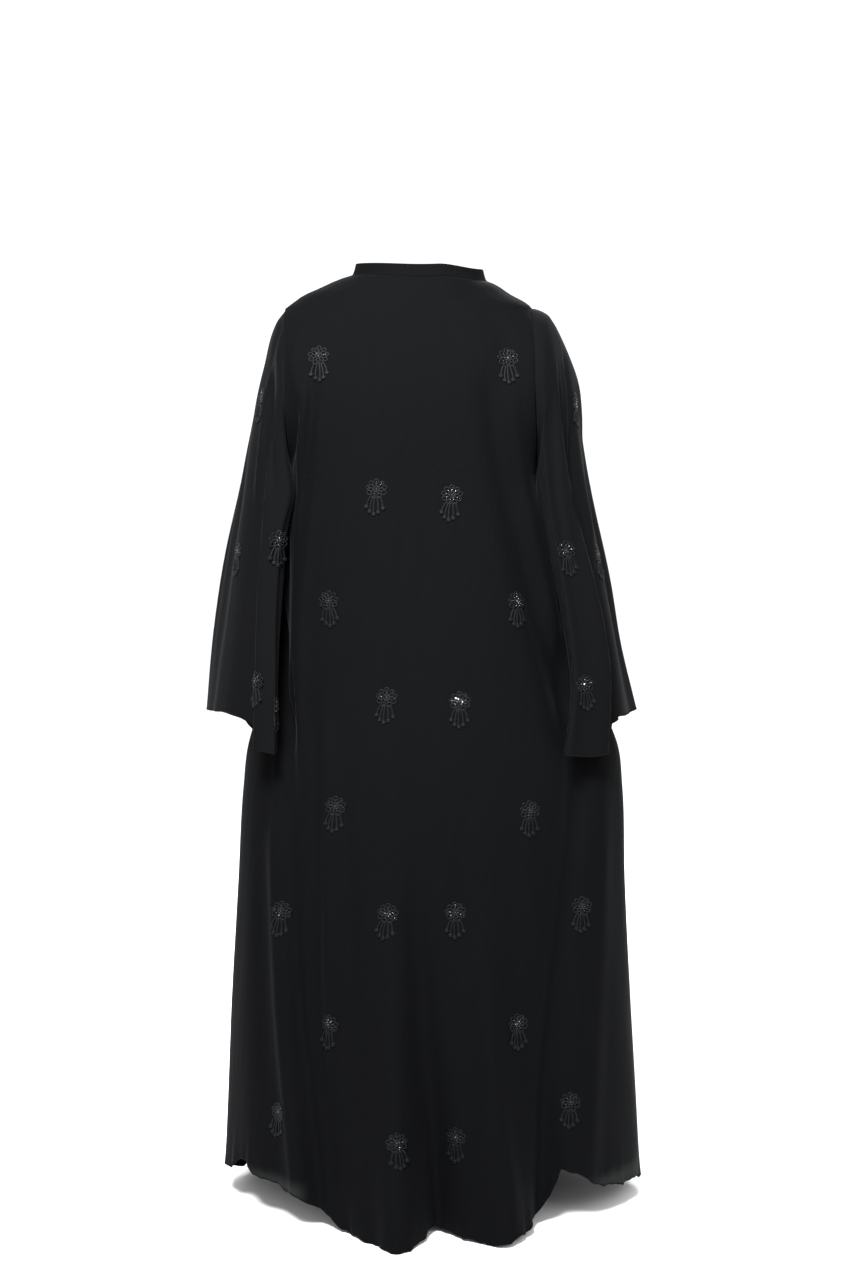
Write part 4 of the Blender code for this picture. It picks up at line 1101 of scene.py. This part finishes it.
for side, angle, along, lean, turn in ON_SLEEVES:
    panel = "sleeve_left" if side > 0 else "sleeve_right"
    spots = [(angle, along), (angle - 6, along), (angle + 6, along), (angle, along - 0.03), (angle, along + 0.03)]
    spot, wide0, wide1, tall0, tall1 = sleeve(side, np.radians([a for a, _ in spots]), np.array([b for _, b in spots]))
    guess = Vector(np.cross(tall1 - tall0, wide1 - wide0) * side).normalized()
    spot = Vector(spot) + Vector((float(strip_shift(side, angle, along)), 0, 0))
    point = trees[panel].ray_cast(spot + guess * 0.02, -guess, 0.06)[0] or trees[panel].find_nearest(spot)[0]
    count += 1
    pieces[panel].append((count, sewn_on(flower(count), trees[panel], point, guess, lean, turn)))

for panel, meshes in pieces.items():
    laid = []
    for number, mesh in meshes:
        item = bpy.data.objects.new(f"flower_{number:02d}", mesh)
        bpy.context.scene.collection.objects.link(item)
        laid.append(item)
    with bpy.context.temp_override(active_object=laid[0], selected_editable_objects=laid):
        bpy.ops.object.join()
    lace = laid[0]
    lace.name = lace.data.name = "lace_" + panel
    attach(lace, "root")
    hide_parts(*(f"motif_{number:02d}" for number, _ in meshes))

# ---------------------------------------------------------------------------------------------------------------
# The studio: a pale seamless floor, soft light from all round with three large lamps, and the camera
# behind the cloak at chest height.

bpy.ops.mesh.primitive_plane_add(size=60, location=(0, 0, cad_box[0][2] - 0.0005))
floor = bpy.context.object
floor.name = "floor"
pale = bpy.data.materials.new("floor_white")
pale.use_nodes = True
pale.node_tree.nodes["Principled BSDF"].inputs["Base Color"].default_value = (0.92, 0.92, 0.92, 1)
pale.node_tree.nodes["Principled BSDF"].inputs["Roughness"].default_value = 0.9
floor.data.materials.append(pale)

world = bpy.data.worlds.new("studio")
bpy.context.scene.world = world
world.use_nodes = True
world.node_tree.nodes["Background"].inputs["Color"].default_value = (1, 1, 1, 1)
world.node_tree.nodes["Background"].inputs["Strength"].default_value = 1.15

for name, place, aim, size, power, spread in (
    ("key", (0.6, 3.0, 2.3), (0, 0, -0.12), 1.2, 86, 58),
    ("fill", (-1.6, 3.0, 1.2), (0, 0, -0.40), 1.6, 8, 80),
    ("front", (-0.8, -3.4, 2.2), (0, 0, -0.50), 2.0, 40, 90),
):
    lamp = bpy.data.lights.new(name, "AREA")
    lamp.shape, lamp.size, lamp.energy = "DISK", size, power
    item = bpy.data.objects.new(name, lamp)
    item.location = place
    lamp.spread = math.radians(spread)
    item.rotation_euler = (Vector(aim) - Vector(place)).to_track_quat("-Z", "Y").to_euler()
    bpy.context.scene.collection.objects.link(item)

view = bpy.data.cameras.new("camera")
view.sensor_fit, view.sensor_height, view.sensor_width, view.lens = "VERTICAL", 36.0, 36.0, 71.24
camera = bpy.data.objects.new("camera", view)
camera.location = (-0.003, 3.8, -0.168)
camera.rotation_euler = (math.radians(90 - 5.6), 0, math.pi)
bpy.context.scene.collection.objects.link(camera)
bpy.context.scene.camera = camera
bpy.context.scene.view_settings.view_transform = "Standard"
